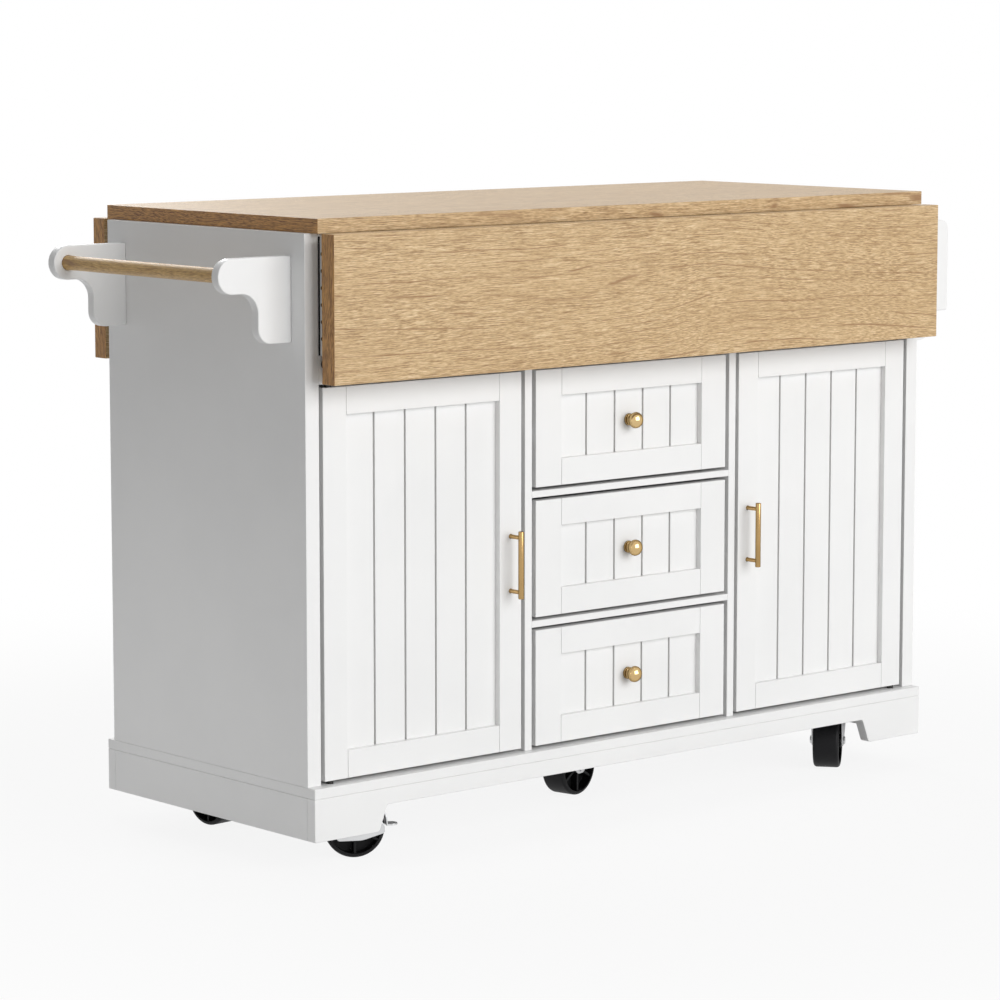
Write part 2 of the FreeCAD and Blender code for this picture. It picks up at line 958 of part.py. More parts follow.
def across_wheel(x, z, half_length, radius):
    """Round bar parallel to the wheel's axle."""
    return rod(Vector(x, -half_length, z), Vector(x, half_length, z), radius)


def plate_screws():
    """Four screws of one caster plate, heads below."""
    half = plate_screw_spacing / 2
    screws = []
    for screw_x in (-half, half):
        for screw_y in (-half, half):
            low = Vector(screw_x, screw_y, plate_underside - plate_screw_head_height)
            top = Vector(screw_x, screw_y, base_underside + plate_screw_embed)
            head = Part.makeCylinder(plate_screw_head_radius, plate_screw_head_height, low)
            screws.append(joined([rod(low, top, plate_screw_radius), head]))
    return screws


def all_plate_screws():
    """Screws of every caster plate."""
    screws = []
    for name, place in caster_places().items():
        group = plate_screws()
        for screw in group:
            screw.translate(place)
        screws += group
    return screws


def make_caster_plates():
    """Square plate with its upper race, kingpin and screws, for every caster."""
    half = plate_size / 2
    head_top = crown_underside - seat_clearance
    solids = []
    for place in caster_places().values():
        plate = joined(
            [
                block((-half, half), (-half, half), (plate_underside, base_underside)),
                rod(Vector(0, 0, race_underside), Vector(0, 0, base_underside), race_radius),
            ]
        )
        pin = joined(
            [
                rod(Vector(0, 0, head_top), Vector(0, 0, base_underside), kingpin_radius),
                rod(
                    Vector(0, 0, head_top - kingpin_head_height), Vector(0, 0, head_top), kingpin_head_radius
                ),
            ]
        )
        screws = plate_screws()
        group = [cut_all(plate, [pin] + screws), pin] + screws
        for solid in group:
            solid.translate(place)
        solids += group
    return solids


def plain_cheek():
    """Corners of a fork cheek that tapers to a round lobe at the axle."""
    lobe_low = wheel_radius - fork_lobe_radius
    return [
        (caster_trail + fork_lobe_radius, lobe_low, fork_lobe_radius),
        (caster_trail - fork_lobe_radius, lobe_low, fork_lobe_radius),
    ]


def braked_cheek():
    """Corners of a fork cheek that flares towards the brake pedal above a waved hem."""
    flare = caster_trail + fork_flare_reach
    hem_low = wheel_radius - fork_hem_drop
    return [
        (caster_trail + fork_shoulder_reach, wheel_radius + fork_shoulder_rise, fork_corner_radius),
        (flare, wheel_radius + fork_flare_rise, fork_flare_radius),
        (flare, wheel_radius - fork_flare_drop, fork_flare_radius),
        (caster_trail + fork_hem_front, hem_low, fork_hem_radius),
        (caster_trail - fork_hem_back, hem_low, fork_corner_radius),
    ]


def make_fork(name):
    """Pressed fork with its axle, and the pedal's pin on a braked caster."""
    corners = [
        (-fork_crown_back, crown_top, 0),
        (fork_crown_front, crown_top, fork_corner_radius),
        *(braked_cheek() if name in braked_casters else plain_cheek()),
        (-fork_crown_back, wheel_radius + fork_back_rise, fork_corner_radius),
    ]
    crown = block(
        (-fork_crown_back, fork_crown_front - fork_corner_radius),
        (-cheek_outer, cheek_outer),
        (crown_underside, crown_top),
    )
    fork = joined(
        [
            crown,
            upright_board(corners, -cheek_outer, fork_sheet_thickness),
            upright_board(corners, cheek_inner, fork_sheet_thickness),
        ]
    )
    axle_end = cheek_outer + axle_head_height
    axle = joined(
        [
            across_wheel(caster_trail, wheel_radius, axle_end, axle_radius),
            across_wheel(caster_trail, wheel_radius, axle_end, axle_head_radius).cut(
                across_wheel(caster_trail, wheel_radius, cheek_outer, axle_head_radius)
            ),
        ]
    )
    bores = [
        rod(
            Vector(0, 0, crown_underside - cut_overrun),
            Vector(0, 0, crown_top + cut_overrun),
            kingpin_radius + running_clearance,
        ),
        axle,
    ]
    extras = [axle]
    if name in braked_casters:
        pin = across_wheel(pedal_pivot().x, pedal_pivot().z, cheek_outer, pedal_pin_radius)
        bores.append(pin)
        extras.append(pin)
    return placed([cut_all(fork, bores)] + extras, name)


def make_wheel(name):
    """Moulded wheel with a rim, a web, a hub and ribs on both faces."""
    hub = wheel_hub_width / 2
    rim = wheel_width / 2
    web = wheel_web_thickness / 2
    bore = axle_radius + running_clearance
    rim_inner = wheel_radius - wheel_rim_thickness
    corners = [
        (bore, -hub, 0),
        (wheel_hub_radius, -hub, 0),
        (wheel_hub_radius, -web, 0),
        (rim_inner, -web, 0),
        (rim_inner, -rim, 0),
        (wheel_radius, -rim, wheel_shoulder_radius),
        (wheel_radius, rim, wheel_shoulder_radius),
        (rim_inner, rim, 0),
        (rim_inner, web, 0),
        (wheel_hub_radius, web, 0),
        (wheel_hub_radius, hub, 0),
        (bore, hub, 0),
    ]
    solids = [turned(corners)]
    rib_half = rim - wheel_rib_setback
    thick = wheel_rib_thickness / 2
    for index in range(wheel_rib_count):
        rib = block(
            (wheel_hub_radius - thick, rim_inner + thick), (-rib_half, rib_half), (-thick, thick)
        )
        rib.rotate(origin, y_axis, right_angle + index * full_turn / wheel_rib_count)
        solids.append(rib)
    wheel = joined(solids)
    wheel.translate(Vector(caster_trail, 0, wheel_radius))
    return placed([wheel], name)


def pedal_pivot():
    """Point on the brake pedal's pivot, above the wheel."""
    radius = wheel_radius + pedal_clearance + pedal_thickness
    angle = math.radians(pedal_angle)
    return Vector(
        caster_trail + radius * math.cos(angle), 0, wheel_radius + radius * math.sin(angle)
    )


def make_pedal(name):
    """Brake lever that follows the tread from its pivot down to a foot tab."""
    inner = wheel_radius + pedal_clearance
    outer = inner + pedal_thickness
    half = pedal_width / 2
    pivot = pedal_pivot()
    corners = [(inner, -half, 0), (outer, -half, 0), (outer, half, 0), (inner, half, 0)]
    section = outline_face(corners, lambda u, v: Vector(u, v, 0))
    shoe = section.revolve(origin, -y_axis, pedal_angle)
    shoe.translate(Vector(caster_trail, 0, wheel_radius))
    tab_low = wheel_radius - pedal_tab_drop
    tab_tip = caster_trail + inner + pedal_tab_reach
    tab_corners = [
        (caster_trail + inner, -half, 0),
        (tab_tip, -half, pedal_tab_radius),
        (tab_tip, half, pedal_tab_radius),
        (caster_trail + inner, half, 0),
    ]
    tab = outline_face(tab_corners, lambda u, v: Vector(u, v, tab_low)).extrude(z_axis * pedal_tab_thickness)
    boss = across_wheel(pivot.x, pivot.z, half, pedal_boss_radius)
    bore = across_wheel(pivot.x, pivot.z, half + cut_overrun, pedal_pin_radius + running_clearance)
    return placed([joined([shoe, tab, boss]).cut(bore)], name)


# Write every node

os.makedirs("parts", exist_ok=True)

save("worktop", make_worktop())
save("side_panels", make_side_panels())
save("partitions", make_partitions())
save("back_panel", make_back_panel())
save("front_fascia", make_fascia())
save("drawer_dividers", make_dividers())
save("cupboard_shelves", make_shelves())
save("shelf_pins", make_shelf_pins())
save("base_board", make_base_board())
save("front_skirt", make_front_skirt())
save("rear_skirt", front_to_rear(make_front_skirt()))
save("end_skirts", make_end_skirts())
save("door_bushes", make_bushes())
save("runner_channels", make_runner_channels())
save("leaf_hinge_plates", make_hinge_plates())
save("support_channels", make_support_channels())
save("towel_brackets", make_towel_brackets())
save("towel_bar", make_towel_bar())
save("spice_rack_ends", make_spice_ends())
save("spice_rack_boards", make_spice_boards())
save("caster_plates", make_caster_plates())

save("front_leaf", make_front_leaf())
save("front_leaf_flaps", make_front_flaps())
save("front_support_arms", make_front_arms())
save("front_arm_tips", make_front_tips())
save("rear_leaf", front_to_rear(make_front_leaf()))
save("rear_leaf_flaps", front_to_rear(make_front_flaps()))
save("rear_support_arms", front_to_rear(make_front_arms()))
save("rear_arm_tips", front_to_rear(make_front_tips()))

save("right_door", make_right_door())
save("right_door_handle", make_right_handle())
save("right_door_pivots", make_right_pivots())
save("left_door", left_to_right(make_right_door()))
save("left_door_handle", left_to_right(make_right_handle()))
save("left_door_pivots", left_to_right(make_right_pivots()))

for number, drawer in enumerate(("bottom_drawer", "middle_drawer", "top_drawer")):
    save(drawer + "_front", make_drawer_front(number))
    save(drawer + "_box", make_drawer_box(number))
    save(drawer + "_rails", make_drawer_rails(number))
    save(drawer + "_knob", make_knob(number))

for caster in caster_places():
    save(caster + "_caster_fork", make_fork(caster))
    save(caster + "_caster_wheel", make_wheel(caster))

for caster in braked_casters:
    save(caster + "_brake_pedal", make_pedal(caster))

print("support arm travel for a raised leaf:", round(support_travel(), 4), "degrees")
print("leaf hinge line at y", round(hinge_y, 4), "z", round(hinge_z, 4))
print("support pivot at y", round(support_pivot_y, 4), "z", round(support_pivot_z, 4))
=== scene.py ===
import json
import logging
import math
from dataclasses import dataclass, field
from enum import Enum, auto
from typing import Iterable, Mapping, Sequence, Union

import bpy
import bmesh
from mathutils import Matrix, Vector


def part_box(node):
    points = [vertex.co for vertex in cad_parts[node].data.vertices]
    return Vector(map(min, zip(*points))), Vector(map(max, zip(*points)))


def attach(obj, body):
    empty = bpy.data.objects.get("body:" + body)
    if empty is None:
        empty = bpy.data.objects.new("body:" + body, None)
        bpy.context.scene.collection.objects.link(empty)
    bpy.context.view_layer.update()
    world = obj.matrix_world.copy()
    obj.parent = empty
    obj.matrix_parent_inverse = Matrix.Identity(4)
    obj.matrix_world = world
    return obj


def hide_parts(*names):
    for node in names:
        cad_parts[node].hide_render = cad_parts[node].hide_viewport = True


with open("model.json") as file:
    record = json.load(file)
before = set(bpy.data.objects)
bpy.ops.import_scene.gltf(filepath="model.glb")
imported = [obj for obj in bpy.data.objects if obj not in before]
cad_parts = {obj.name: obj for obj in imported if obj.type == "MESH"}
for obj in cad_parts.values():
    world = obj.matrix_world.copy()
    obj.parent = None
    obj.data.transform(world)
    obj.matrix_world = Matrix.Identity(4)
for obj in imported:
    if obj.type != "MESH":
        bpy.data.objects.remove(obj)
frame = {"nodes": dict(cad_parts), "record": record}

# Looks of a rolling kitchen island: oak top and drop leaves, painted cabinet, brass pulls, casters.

Colour = tuple[float, float, float]
Point = tuple[float, float, float]
Pair = tuple[float, float]
Operand = Union["Signal", float]

LOG = logging.getLogger("kitchen_island")
NOISE_MEAN = 0.5
PURE_WHITE = (1.0, 1.0, 1.0, 1.0)
BOTH_WAYS = (-1, 1)
FORWARD, REARWARD, UP, DOWN = (0, -1, 0), (0, 1, 0), (0, 0, 1), (0, 0, -1)


class Axis(Enum):
    """Axes of the part's frame, numbered as vector components."""

    X = 0
    Y = 1
    Z = 2


class Option(Enum):
    """A choice whose name is part of the names of nodes and pieces."""

    @property
    def label(self) -> str:
        """The option's name as nodes and pieces spell it."""
        return self.name.lower()


class Side(Option):
    """Ends of the cabinet, with their direction along X."""

    LEFT = -1
    RIGHT = 1


class Flank(Option):
    """Long sides of the cabinet, with their direction along Y."""

    FRONT = -1
    REAR = 1


class Level(Option):
    """Drawers, from the lowest up."""

    BOTTOM = auto()
    MIDDLE = auto()
    TOP = auto()


class Station(Option):
    """Places of the casters under the base."""

    FRONT_LEFT = auto()
    FRONT_RIGHT = auto()
    REAR_LEFT = auto()
    REAR_RIGHT = auto()
    MIDDLE = auto()


# Shader maths

class Signal:
    """A value socket that can stand in an arithmetic expression."""

    def __init__(self, board: "ShaderBoard", socket: bpy.types.NodeSocket) -> None:
        """Keep the socket and the board that its maths nodes go on.

        Args:
            board: the node tree in use.
            socket: the output that carries the value.
        """
        self.board = board
        self.socket = socket

    def _maths(self, operation: str, *operands: Operand) -> "Signal":
        """Add one maths node.

        Args:
            operation: the node's operation.
            operands: its inputs in order.

        Returns:
            The node's result.
        """
        sockets = dict(enumerate(operands))
        node = self.board.node("ShaderNodeMath", {"operation": operation}, sockets)
        return Signal(self.board, node.outputs[0])

    def __add__(self, other: Operand) -> "Signal":
        """Sum of two values."""
        return self._maths("ADD", self, other)

    __radd__ = __add__

    def __sub__(self, other: Operand) -> "Signal":
        """This value less another."""
        return self._maths("SUBTRACT", self, other)

    def __rsub__(self, other: Operand) -> "Signal":
        """A number less this value."""
        return self._maths("SUBTRACT", other, self)

    def __mul__(self, other: Operand) -> "Signal":
        """Product of two values."""
        return self._maths("MULTIPLY", self, other)

    __rmul__ = __mul__

    def __pow__(self, other: Operand) -> "Signal":
        """This value to a power."""
        return self._maths("POWER", self, other)

    def sine(self) -> "Signal":
        """Sine of this value in radians."""
        return self._maths("SINE", self)

    def size(self) -> "Signal":
        """This value without its sign."""
        return self._maths("ABSOLUTE", self)

    def between(self, low: float, high: float) -> "Signal":
        """Smooth step from 0 at low to 1 at high.

        Args:
            low: where the step starts.
            high: where it is complete.

        Returns:
            The stepped value.
        """
        settings = {"interpolation_type": "SMOOTHSTEP", "clamp": True}
        sockets = {0: self, 1: low, 2: high, 3: 0.0, 4: 1.0}
        node = self.board.node("ShaderNodeMapRange", settings, sockets)
        return Signal(self.board, node.outputs[0])


class ShaderBoard:
    """The node tree of one material or world."""

    def __init__(self, owner: bpy.types.Material | bpy.types.World) -> None:
        """Start with an empty tree.

        Args:
            owner: the material or world that the nodes belong to.
        """
        owner.use_nodes = True
        self.owner = owner
        self.tree = owner.node_tree
        self.tree.nodes.clear()

    def node(self, kind: str, settings: Mapping | None = None,
             sockets: Mapping | None = None) -> bpy.types.Node:
        """Add a node, set it up, then fill its sockets.

        Args:
            kind: the node's type.
            settings: properties by name; stops fills a colour ramp.
            sockets: values or links by socket name or number.

        Returns:
            The new node.
        """
        node = self.tree.nodes.new(kind)
        for name, value in (settings or {}).items():
            if name == "stops":
                elements = node.color_ramp.elements
                while len(elements) < len(value):
                    elements.new(1.0)
                for element, (position, colour) in zip(elements, value):
                    element.position = position
                    element.color = (*colour, 1.0)
            else:
                setattr(node, name, value)
        for name, value in (sockets or {}).items():
            if isinstance(value, Signal):
                value = value.socket
            if isinstance(value, bpy.types.NodeSocket):
                self.tree.links.new(value, node.inputs[name])
            else:
                node.inputs[name].default_value = value
        return node

    def split(self, output: str = "Object") -> list[Signal]:
        """Components of a texture coordinate.

        Args:
            output: which coordinate, such as Object or Normal.

        Returns:
            The X, Y and Z values.
        """
        source = self.node("ShaderNodeTexCoord").outputs[output]
        parts = self.node("ShaderNodeSeparateXYZ", None, {0: source}).outputs
        return [Signal(self, part) for part in parts]

    def noise(self, place: Sequence[Operand], detail: float, roughness: float) -> Signal:
        """Noise at a place given by three values, already scaled.

        Args:
            place: the place's components.
            detail: octaves of the noise.
            roughness: weight of the finer octaves.

        Returns:
            The noise, about 0 to 1.
        """
        vector = self.node("ShaderNodeCombineXYZ", None, dict(enumerate(place))).outputs[0]
        sockets = {"Vector": vector, "Scale": 1.0, "Detail": detail, "Roughness": roughness}
        return Signal(self, self.node("ShaderNodeTexNoise", None, sockets).outputs[0])

    def ramp(self, signal: Signal, stops: Sequence[tuple[float, Colour]]) -> bpy.types.NodeSocket:
        """Colour read from a ramp of positions and colours."""
        return self.node("ShaderNodeValToRGB", {"stops": stops}, {0: signal}).outputs[0]

    def mix(self, share: Operand, first: object, second: object) -> bpy.types.NodeSocket:
        """Blend of two colours.

        Args:
            share: weight of the second colour.
            first: colour or colour socket.
            second: colour or colour socket.

        Returns:
            The blended colour socket.
        """
        ends = [(*c, 1.0) if isinstance(c, tuple) else c for c in (first, second)]
        sockets = {0: share, 6: ends[0], 7: ends[1]}
        return self.node("ShaderNodeMix", {"data_type": "RGBA"}, sockets).outputs[2]

    def bump(self, height: Signal, depth: float, strength: float) -> bpy.types.NodeSocket:
        """Normal tilted by a height.

        Args:
            height: the relief, about 0 to 1.
            depth: metres that a height of 1 stands for.
            strength: share of the tilt that is used.

        Returns:
            The normal socket.
        """
        sockets = {"Height": height, "Distance": depth, "Strength": strength}
        return self.node("ShaderNodeBump", None, sockets).outputs[0]

    def finish(self, sockets: Mapping) -> bpy.types.Material:
        """Close the tree with a Principled surface.

        Args:
            sockets: values or links of the surface.

        Returns:
            The finished material.
        """
        surface = self.node("ShaderNodeBsdfPrincipled", None, sockets)
        self.node("ShaderNodeOutputMaterial", None, {"Surface": surface.outputs[0]})
        return self.owner


@dataclass(frozen=True)
class Layer:
    """Noise of one scale, in waves per metre along and across the grain; a window sharpens it."""

    along: float
    across: float
    detail: float = 2.0
    roughness: float = 0.5
    window: Pair | None = None

    def on(self, board: ShaderBoard, place: Sequence[Signal], grain: Axis = Axis.X) -> Signal:
        """The layer's noise at a place.

        Args:
            board: the material's nodes.
            place: components of the place.
            grain: the component that runs along the grain.

        Returns:
            The noise, about 0 to 1.
        """
        scales = [self.along if axis is grain else self.across for axis in Axis]
        scaled = [part * scale for part, scale in zip(place, scales)]
        noise = board.noise(scaled, self.detail, self.roughness)
        return noise if self.window is None else noise.between(*self.window)

    def swing(self, board: ShaderBoard, place: Sequence[Signal]) -> Signal:
        """The layer's noise at a place, less its mean."""
        return self.on(board, place) - NOISE_MEAN


def shaded(colour: Colour, share: float) -> Colour:
    """A colour at a share of its brightness."""
    return tuple(share * part for part in colour)


# Finishes

@dataclass(frozen=True)
class Oak:
    """Satin oak veneer with fibres, short pores and thin veins, and a brown band on board ends."""

    name: str
    grain: Axis = Axis.X
    band: Axis | None = None
    shift: float = 0.0
    tones: tuple[tuple[float, Colour], ...] = (
        (0.24, (0.250, 0.138, 0.053)), (0.40, (0.425, 0.275, 0.130)), (0.51, (0.565, 0.382, 0.195)),
        (0.64, (0.700, 0.512, 0.292)), (0.78, (0.800, 0.630, 0.402)))
    pore_colour: Colour = (0.210, 0.112, 0.042)
    vein_colour: Colour = (0.290, 0.150, 0.060)
    band_light: Colour = (0.700, 0.365, 0.105)
    band_dark: Colour = (0.130, 0.042, 0.006)
    band_window: Pair = (0.26, 0.74)
    end_window: Pair = (0.6, 0.8)
    sweep: Layer = Layer(2.6, 5.0, 0.0)
    sweep_reach: float = 0.032
    ripple: Layer = Layer(18.0, 24.0, 0.0)
    ripple_reach: float = 0.0016
    zones: Layer = Layer(2.4, 14.0, window=(0.34, 0.64))
    figure: Layer = Layer(1.6, 24.0, 3.0, 0.55)
    fibres: Layer = Layer(20.0, 1250.0, 2.0, 0.55)
    flecks: Layer = Layer(110.0, 1450.0, 1.0)
    fibre_share: float = 0.68
    fleck_share: float = 0.40
    grain_drop: float = 0.040
    contrast: float = 1.25
    zone_contrast: float = 0.4
    figure_contrast: float = 0.12
    pores: Layer = Layer(9.0, 560.0, 3.0, 0.60, (0.60, 0.76))
    pore_strength: float = 0.15
    zone_pores: float = 0.40
    ring_turns: float = 190.0
    wander: Layer = Layer(1.8, 8.0, 1.0)
    wander_turns: float = 17.0
    breaks: Layer = Layer(7.0, 60.0, 2.0, 0.6, (0.42, 0.60))
    vein_window: Pair = (0.03, 0.24)
    vein_strength: float = 0.80
    roughness: float = 0.33
    grain_roughness: float = 0.14
    pore_roughness: float = 0.14
    grain_relief: float = 0.7
    pore_relief: float = 0.5
    relief_depth: float = 0.00030
    relief_strength: float = 0.5
    gloss: float = 0.42

    def grain_place(self, board: ShaderBoard) -> tuple[list[Signal], Operand]:
        """Place along and across the grain.

        Args:
            board: the material's nodes.

        Returns:
            One value along the grain and two across it, and 1 where a board's end shows.
        """
        parts = board.split()
        rest = [axis for axis in Axis if axis is not self.grain]
        if self.band is None:
            return [parts[axis.value] for axis in (self.grain, *rest)], 0.0
        other = next(axis for axis in rest if axis is not self.band)
        end = board.split("Normal")[self.grain.value].size().between(*self.end_window)
        long, side, deep = (parts[axis.value] for axis in (self.grain, self.band, other))
        turns = ((long, side), (side, deep), (deep, long))
        return [face + (cut - face) * end for face, cut in turns], end

    def material(self) -> bpy.types.Material:
        """Build the oak.

        Returns:
            The material.
        """
        board = ShaderBoard(bpy.data.materials.new(self.name))
        (long, side, deep), end = self.grain_place(board)
        straight = (long + self.shift, side, deep)
        sweep = self.sweep.swing(board, straight) * self.sweep_reach
        ripple = self.ripple.swing(board, straight) * self.ripple_reach
        place = (straight[0], side + sweep + ripple, deep + sweep + ripple)
        zone = self.zones.on(board, place)
        figure = self.figure.swing(board, place) * self.figure_contrast
        fibre, fleck = self.fibres.on(board, place), self.flecks.on(board, place)
        grain = fibre * self.fibre_share + fleck * self.fleck_share - self.grain_drop
        pore = self.pores.on(board, place)
        rings = place[1] * self.ring_turns + self.wander.on(board, place) * self.wander_turns
        vein = (1 - rings.sine().size().between(*self.vein_window)) * self.breaks.on(board, place)
        contrast = zone * self.zone_contrast + self.contrast
        shade = (grain - NOISE_MEAN) * contrast + figure + NOISE_MEAN
        wood = board.mix(vein * self.vein_strength, board.ramp(shade, self.tones), self.vein_colour)
        band = board.mix(shade.between(*self.band_window), self.band_dark, self.band_light)
        wood = board.mix(end, wood, band)
        openness = zone * self.zone_pores + self.pore_strength
        wood = board.mix(pore * openness, wood, self.pore_colour)
        relief = grain * self.grain_relief - pore * self.pore_relief
        return board.finish({
            "Base Color": wood,
            "Roughness": self.roughness + grain * self.grain_roughness + pore * self.pore_roughness,
            "Normal": board.bump(relief, self.relief_depth, self.relief_strength),
            "Specular IOR Level": self.gloss,
        })


@dataclass(frozen=True)
class Paint:
    """Satin paint or smooth facing with a faint peel and uneven sheen, with painted shade in panel
    grooves.
    """

    name: str
    colour: Colour
    tint: Colour
    roughness: float = 0.36
    peel_depth: float = 0.00006
    speck_strength: float = 0.0
    groove: Pair | None = None
    groove_blur: float = 0.0007
    # Grey used as painted shade in panel grooves.
    dust: Colour = (0.700, 0.698, 0.690)
    clouds: Layer = Layer(5.0, 5.0, 3.0, 0.55, (0.35, 0.70))
    sheens: Layer = Layer(42.0, 42.0, 3.0, 0.6)
    sheen_roughness: float = 0.10
    sheen_relief: float = 0.5
    peels: Layer = Layer(520.0, 520.0)
    peel_strength: float = 0.5
    specks: Layer = Layer(1500.0, 1500.0, 1.0, window=(0.62, 0.74))
    speck_shade: float = 0.72
    gloss: float = 0.45

    def material(self) -> bpy.types.Material:
        """Build the paint.

        Returns:
            The material.
        """
        board = ShaderBoard(bpy.data.materials.new(self.name))
        place = board.split()
        sheen = self.sheens.on(board, place)
        colour = board.mix(self.clouds.on(board, place), self.colour, self.tint)
        speck = self.specks.on(board, place) * self.speck_strength
        colour = board.mix(speck, colour, shaded(self.tint, self.speck_shade))
        # Painted shade: grey in the panel grooves, between their mouth and their floor.
        if self.groove is not None:
            (mouth, floor), depth = self.groove, place[Axis.Y.value]
            below_mouth = depth.between(mouth, mouth + self.groove_blur)
            above_floor = 1 - depth.between(floor, floor + self.groove_blur)
            colour = board.mix(below_mouth * above_floor, colour, self.dust)
        smoothest = self.roughness - self.sheen_roughness / 2
        relief = self.peels.on(board, place) + sheen * self.sheen_relief
        return board.finish({
            "Base Color": colour,
            "Roughness": smoothest + sheen * self.sheen_roughness,
            "Normal": board.bump(relief, self.peel_depth, self.peel_strength),
            "Specular IOR Level": self.gloss,
        })


@dataclass(frozen=True)
class Metal:
    """Bare or plated metal with brush lines and a cloudy plating, with painted shade close to its
    seat.
    """

    name: str
    colour: Colour
    deep: Colour
    roughness: float
    brushed: Axis
    spangle: float = 0.10
    line_roughness: float = 0.08
    edge: Colour = (1.0, 1.0, 1.0)
    # Depths where painted shade darkens the metal close to its seat.
    dull: Pair | None = None
    dull_strength: float = 0.75
    dull_shade: float = 0.45
    polish: float = 0.04
    lines: Layer = Layer(40.0, 1600.0, 2.0, 0.6)
    line_depth: float = 0.00004
    line_strength: float = 0.35
    clouds: Layer = Layer(55.0, 55.0, 3.0, 0.6)
    cloud_strength: float = 0.20
    stains: Layer = Layer(16.0, 16.0, window=(0.42, 0.72))
    stain_strength: float = 0.45

    def material(self) -> bpy.types.Material:
        """Build the metal.

        Returns:
            The material.
        """
        board = ShaderBoard(bpy.data.materials.new(self.name))
        place = board.split()
        line = self.lines.on(board, place, self.brushed)
        cloud = self.clouds.on(board, place)
        worn = self.stains.on(board, place) * self.stain_strength + cloud * self.cloud_strength
        colour = board.mix(worn, self.colour, self.deep)
        # Painted shade: the colour goes darker close to the door, where the pull meets it.
        if self.dull is not None:
            dull = place[Axis.Y.value].between(*self.dull) * self.dull_strength
            colour = board.mix(dull, colour, shaded(self.deep, self.dull_shade))
        smoothest = self.roughness - self.polish
        return board.finish({
            "Base Color": colour,
            "Metallic": 1.0,
            "Roughness": smoothest + cloud * self.spangle + line * self.line_roughness,
            "Normal": board.bump(line, self.line_depth, self.line_strength),
            "Specular Tint": (*self.edge, 1.0),
        })


@dataclass(frozen=True)
class Moulded:
    """Moulded plastic and rubber, and the matt black of the painted-shade strips, with a fine grain
    and dusty patches.
    """

    name: str
    colour: Colour
    dust: Colour
    roughness: float
    gloss: float
    grain_depth: float = 0.00008
    grains: Layer = Layer(1100.0, 1100.0, 2.0, 0.6)
    grain_strength: float = 0.6
    grain_roughness: float = 0.05
    patches: Layer = Layer(60.0, 60.0, 3.0, 0.6)
    patch_roughness: float = 0.14
    dust_window: Pair = (0.45, 0.80)
    dust_strength: float = 0.5
    polish: float = 0.06

    def material(self) -> bpy.types.Material:
        """Build the plastic, rubber or felt.

        Returns:
            The material.
        """
        board = ShaderBoard(bpy.data.materials.new(self.name))
        place = board.split()
        grain = self.grains.on(board, place)
        patch = self.patches.on(board, place)
        dusty = patch.between(*self.dust_window) * self.dust_strength
        smoothest = self.roughness - self.polish
        return board.finish({
            "Base Color": board.mix(dusty, self.colour, self.dust),
            "Roughness": smoothest + patch * self.patch_roughness + grain * self.grain_roughness,
            "Normal": board.bump(grain, self.grain_depth, self.grain_strength),
            "Specular IOR Level": self.gloss,
        })


Finish = Union[Oak, Paint, Metal, Moulded]

TOP_OAK = Oak("oak_top", band=Axis.Y)
FRONT_LEAF_OAK = Oak("oak_front_leaf", band=Axis.Z, shift=3.1)
REAR_LEAF_OAK = Oak("oak_rear_leaf", band=Axis.Z, shift=7.7)
BAR_WARMTH = (1.0, 0.91, 0.62)
BAR_OAK = Oak("oak_bar", grain=Axis.Y, shift=1.3, tones=tuple(
    (place, tuple(warmth * part for warmth, part in zip(BAR_WARMTH, colour)))
    for place, colour in TOP_OAK.tones))
# Depths of the mouth and floor of the panel grooves, where shade is painted.
GROOVE_DEPTHS = (-0.2263, -0.2219)
WHITE = Paint("satin_white", (0.860, 0.860, 0.855), (0.835, 0.836, 0.832))
PANEL_WHITE = Paint("panel_white", WHITE.colour, WHITE.tint, groove=GROOVE_DEPTHS)
LINING = Paint("white_facing", (0.835, 0.833, 0.822), (0.800, 0.798, 0.786),
               roughness=0.44, peel_depth=0.00009, speck_strength=0.10)
POWDER = Paint("powder_coat", (0.800, 0.802, 0.800), (0.760, 0.762, 0.760),
               roughness=0.42, peel_depth=0.00012, speck_strength=0.06)
# Depths close to the door where shade is painted on the pulls.
PULL_SEAT = (-0.246, -0.231)
BAR_BRASS = Metal("brushed_brass", (0.480, 0.318, 0.140), (0.330, 0.205, 0.080), 0.15, Axis.Z,
                  spangle=0.06, line_roughness=0.06, edge=(0.10, 0.06, 0.02), dull=PULL_SEAT)
# Lighter copy of the bar brass for the knobs: painted reflection on the knob face; the lower
# roughness is its own polish.
KNOB_BRASS_LIT_COPY = Metal("polished_brass", (0.680, 0.490, 0.245), (0.540, 0.365, 0.160), 0.09, Axis.Z,
                   spangle=0.05, line_roughness=0.04, edge=(0.05, 0.03, 0.01), dull=PULL_SEAT)
BLACK_STEEL = Metal("black_steel", (0.055, 0.054, 0.052), (0.035, 0.034, 0.033), 0.42, Axis.X,
                    spangle=0.12, line_roughness=0.10)
ZINC = Metal("zinc_plate", (0.640, 0.645, 0.650), (0.480, 0.485, 0.490), 0.30, Axis.X,
             spangle=0.18, edge=(0.60, 0.60, 0.60))
RUNNER_ZINC = Metal("runner_zinc", (0.690, 0.700, 0.715), (0.600, 0.605, 0.615), 0.27, Axis.Y,
                    line_roughness=0.12)
BLACK_RUBBER = Moulded("black_rubber", (0.012, 0.012, 0.012), (0.034, 0.033, 0.032), 0.68,
                       gloss=0.3)
# Matt black of the strips beside the support channels: painted shade in the gap.
BLACK_SHADE_STRIP = Moulded("black_felt", (0.010, 0.010, 0.011), (0.022, 0.021, 0.021), 0.92, gloss=0.1,
                     grain_depth=0.00030)
WHEEL = Moulded("wheel_plastic", (0.005, 0.005, 0.006), (0.014, 0.014, 0.014), 0.50, gloss=0.20)


# Mesh work

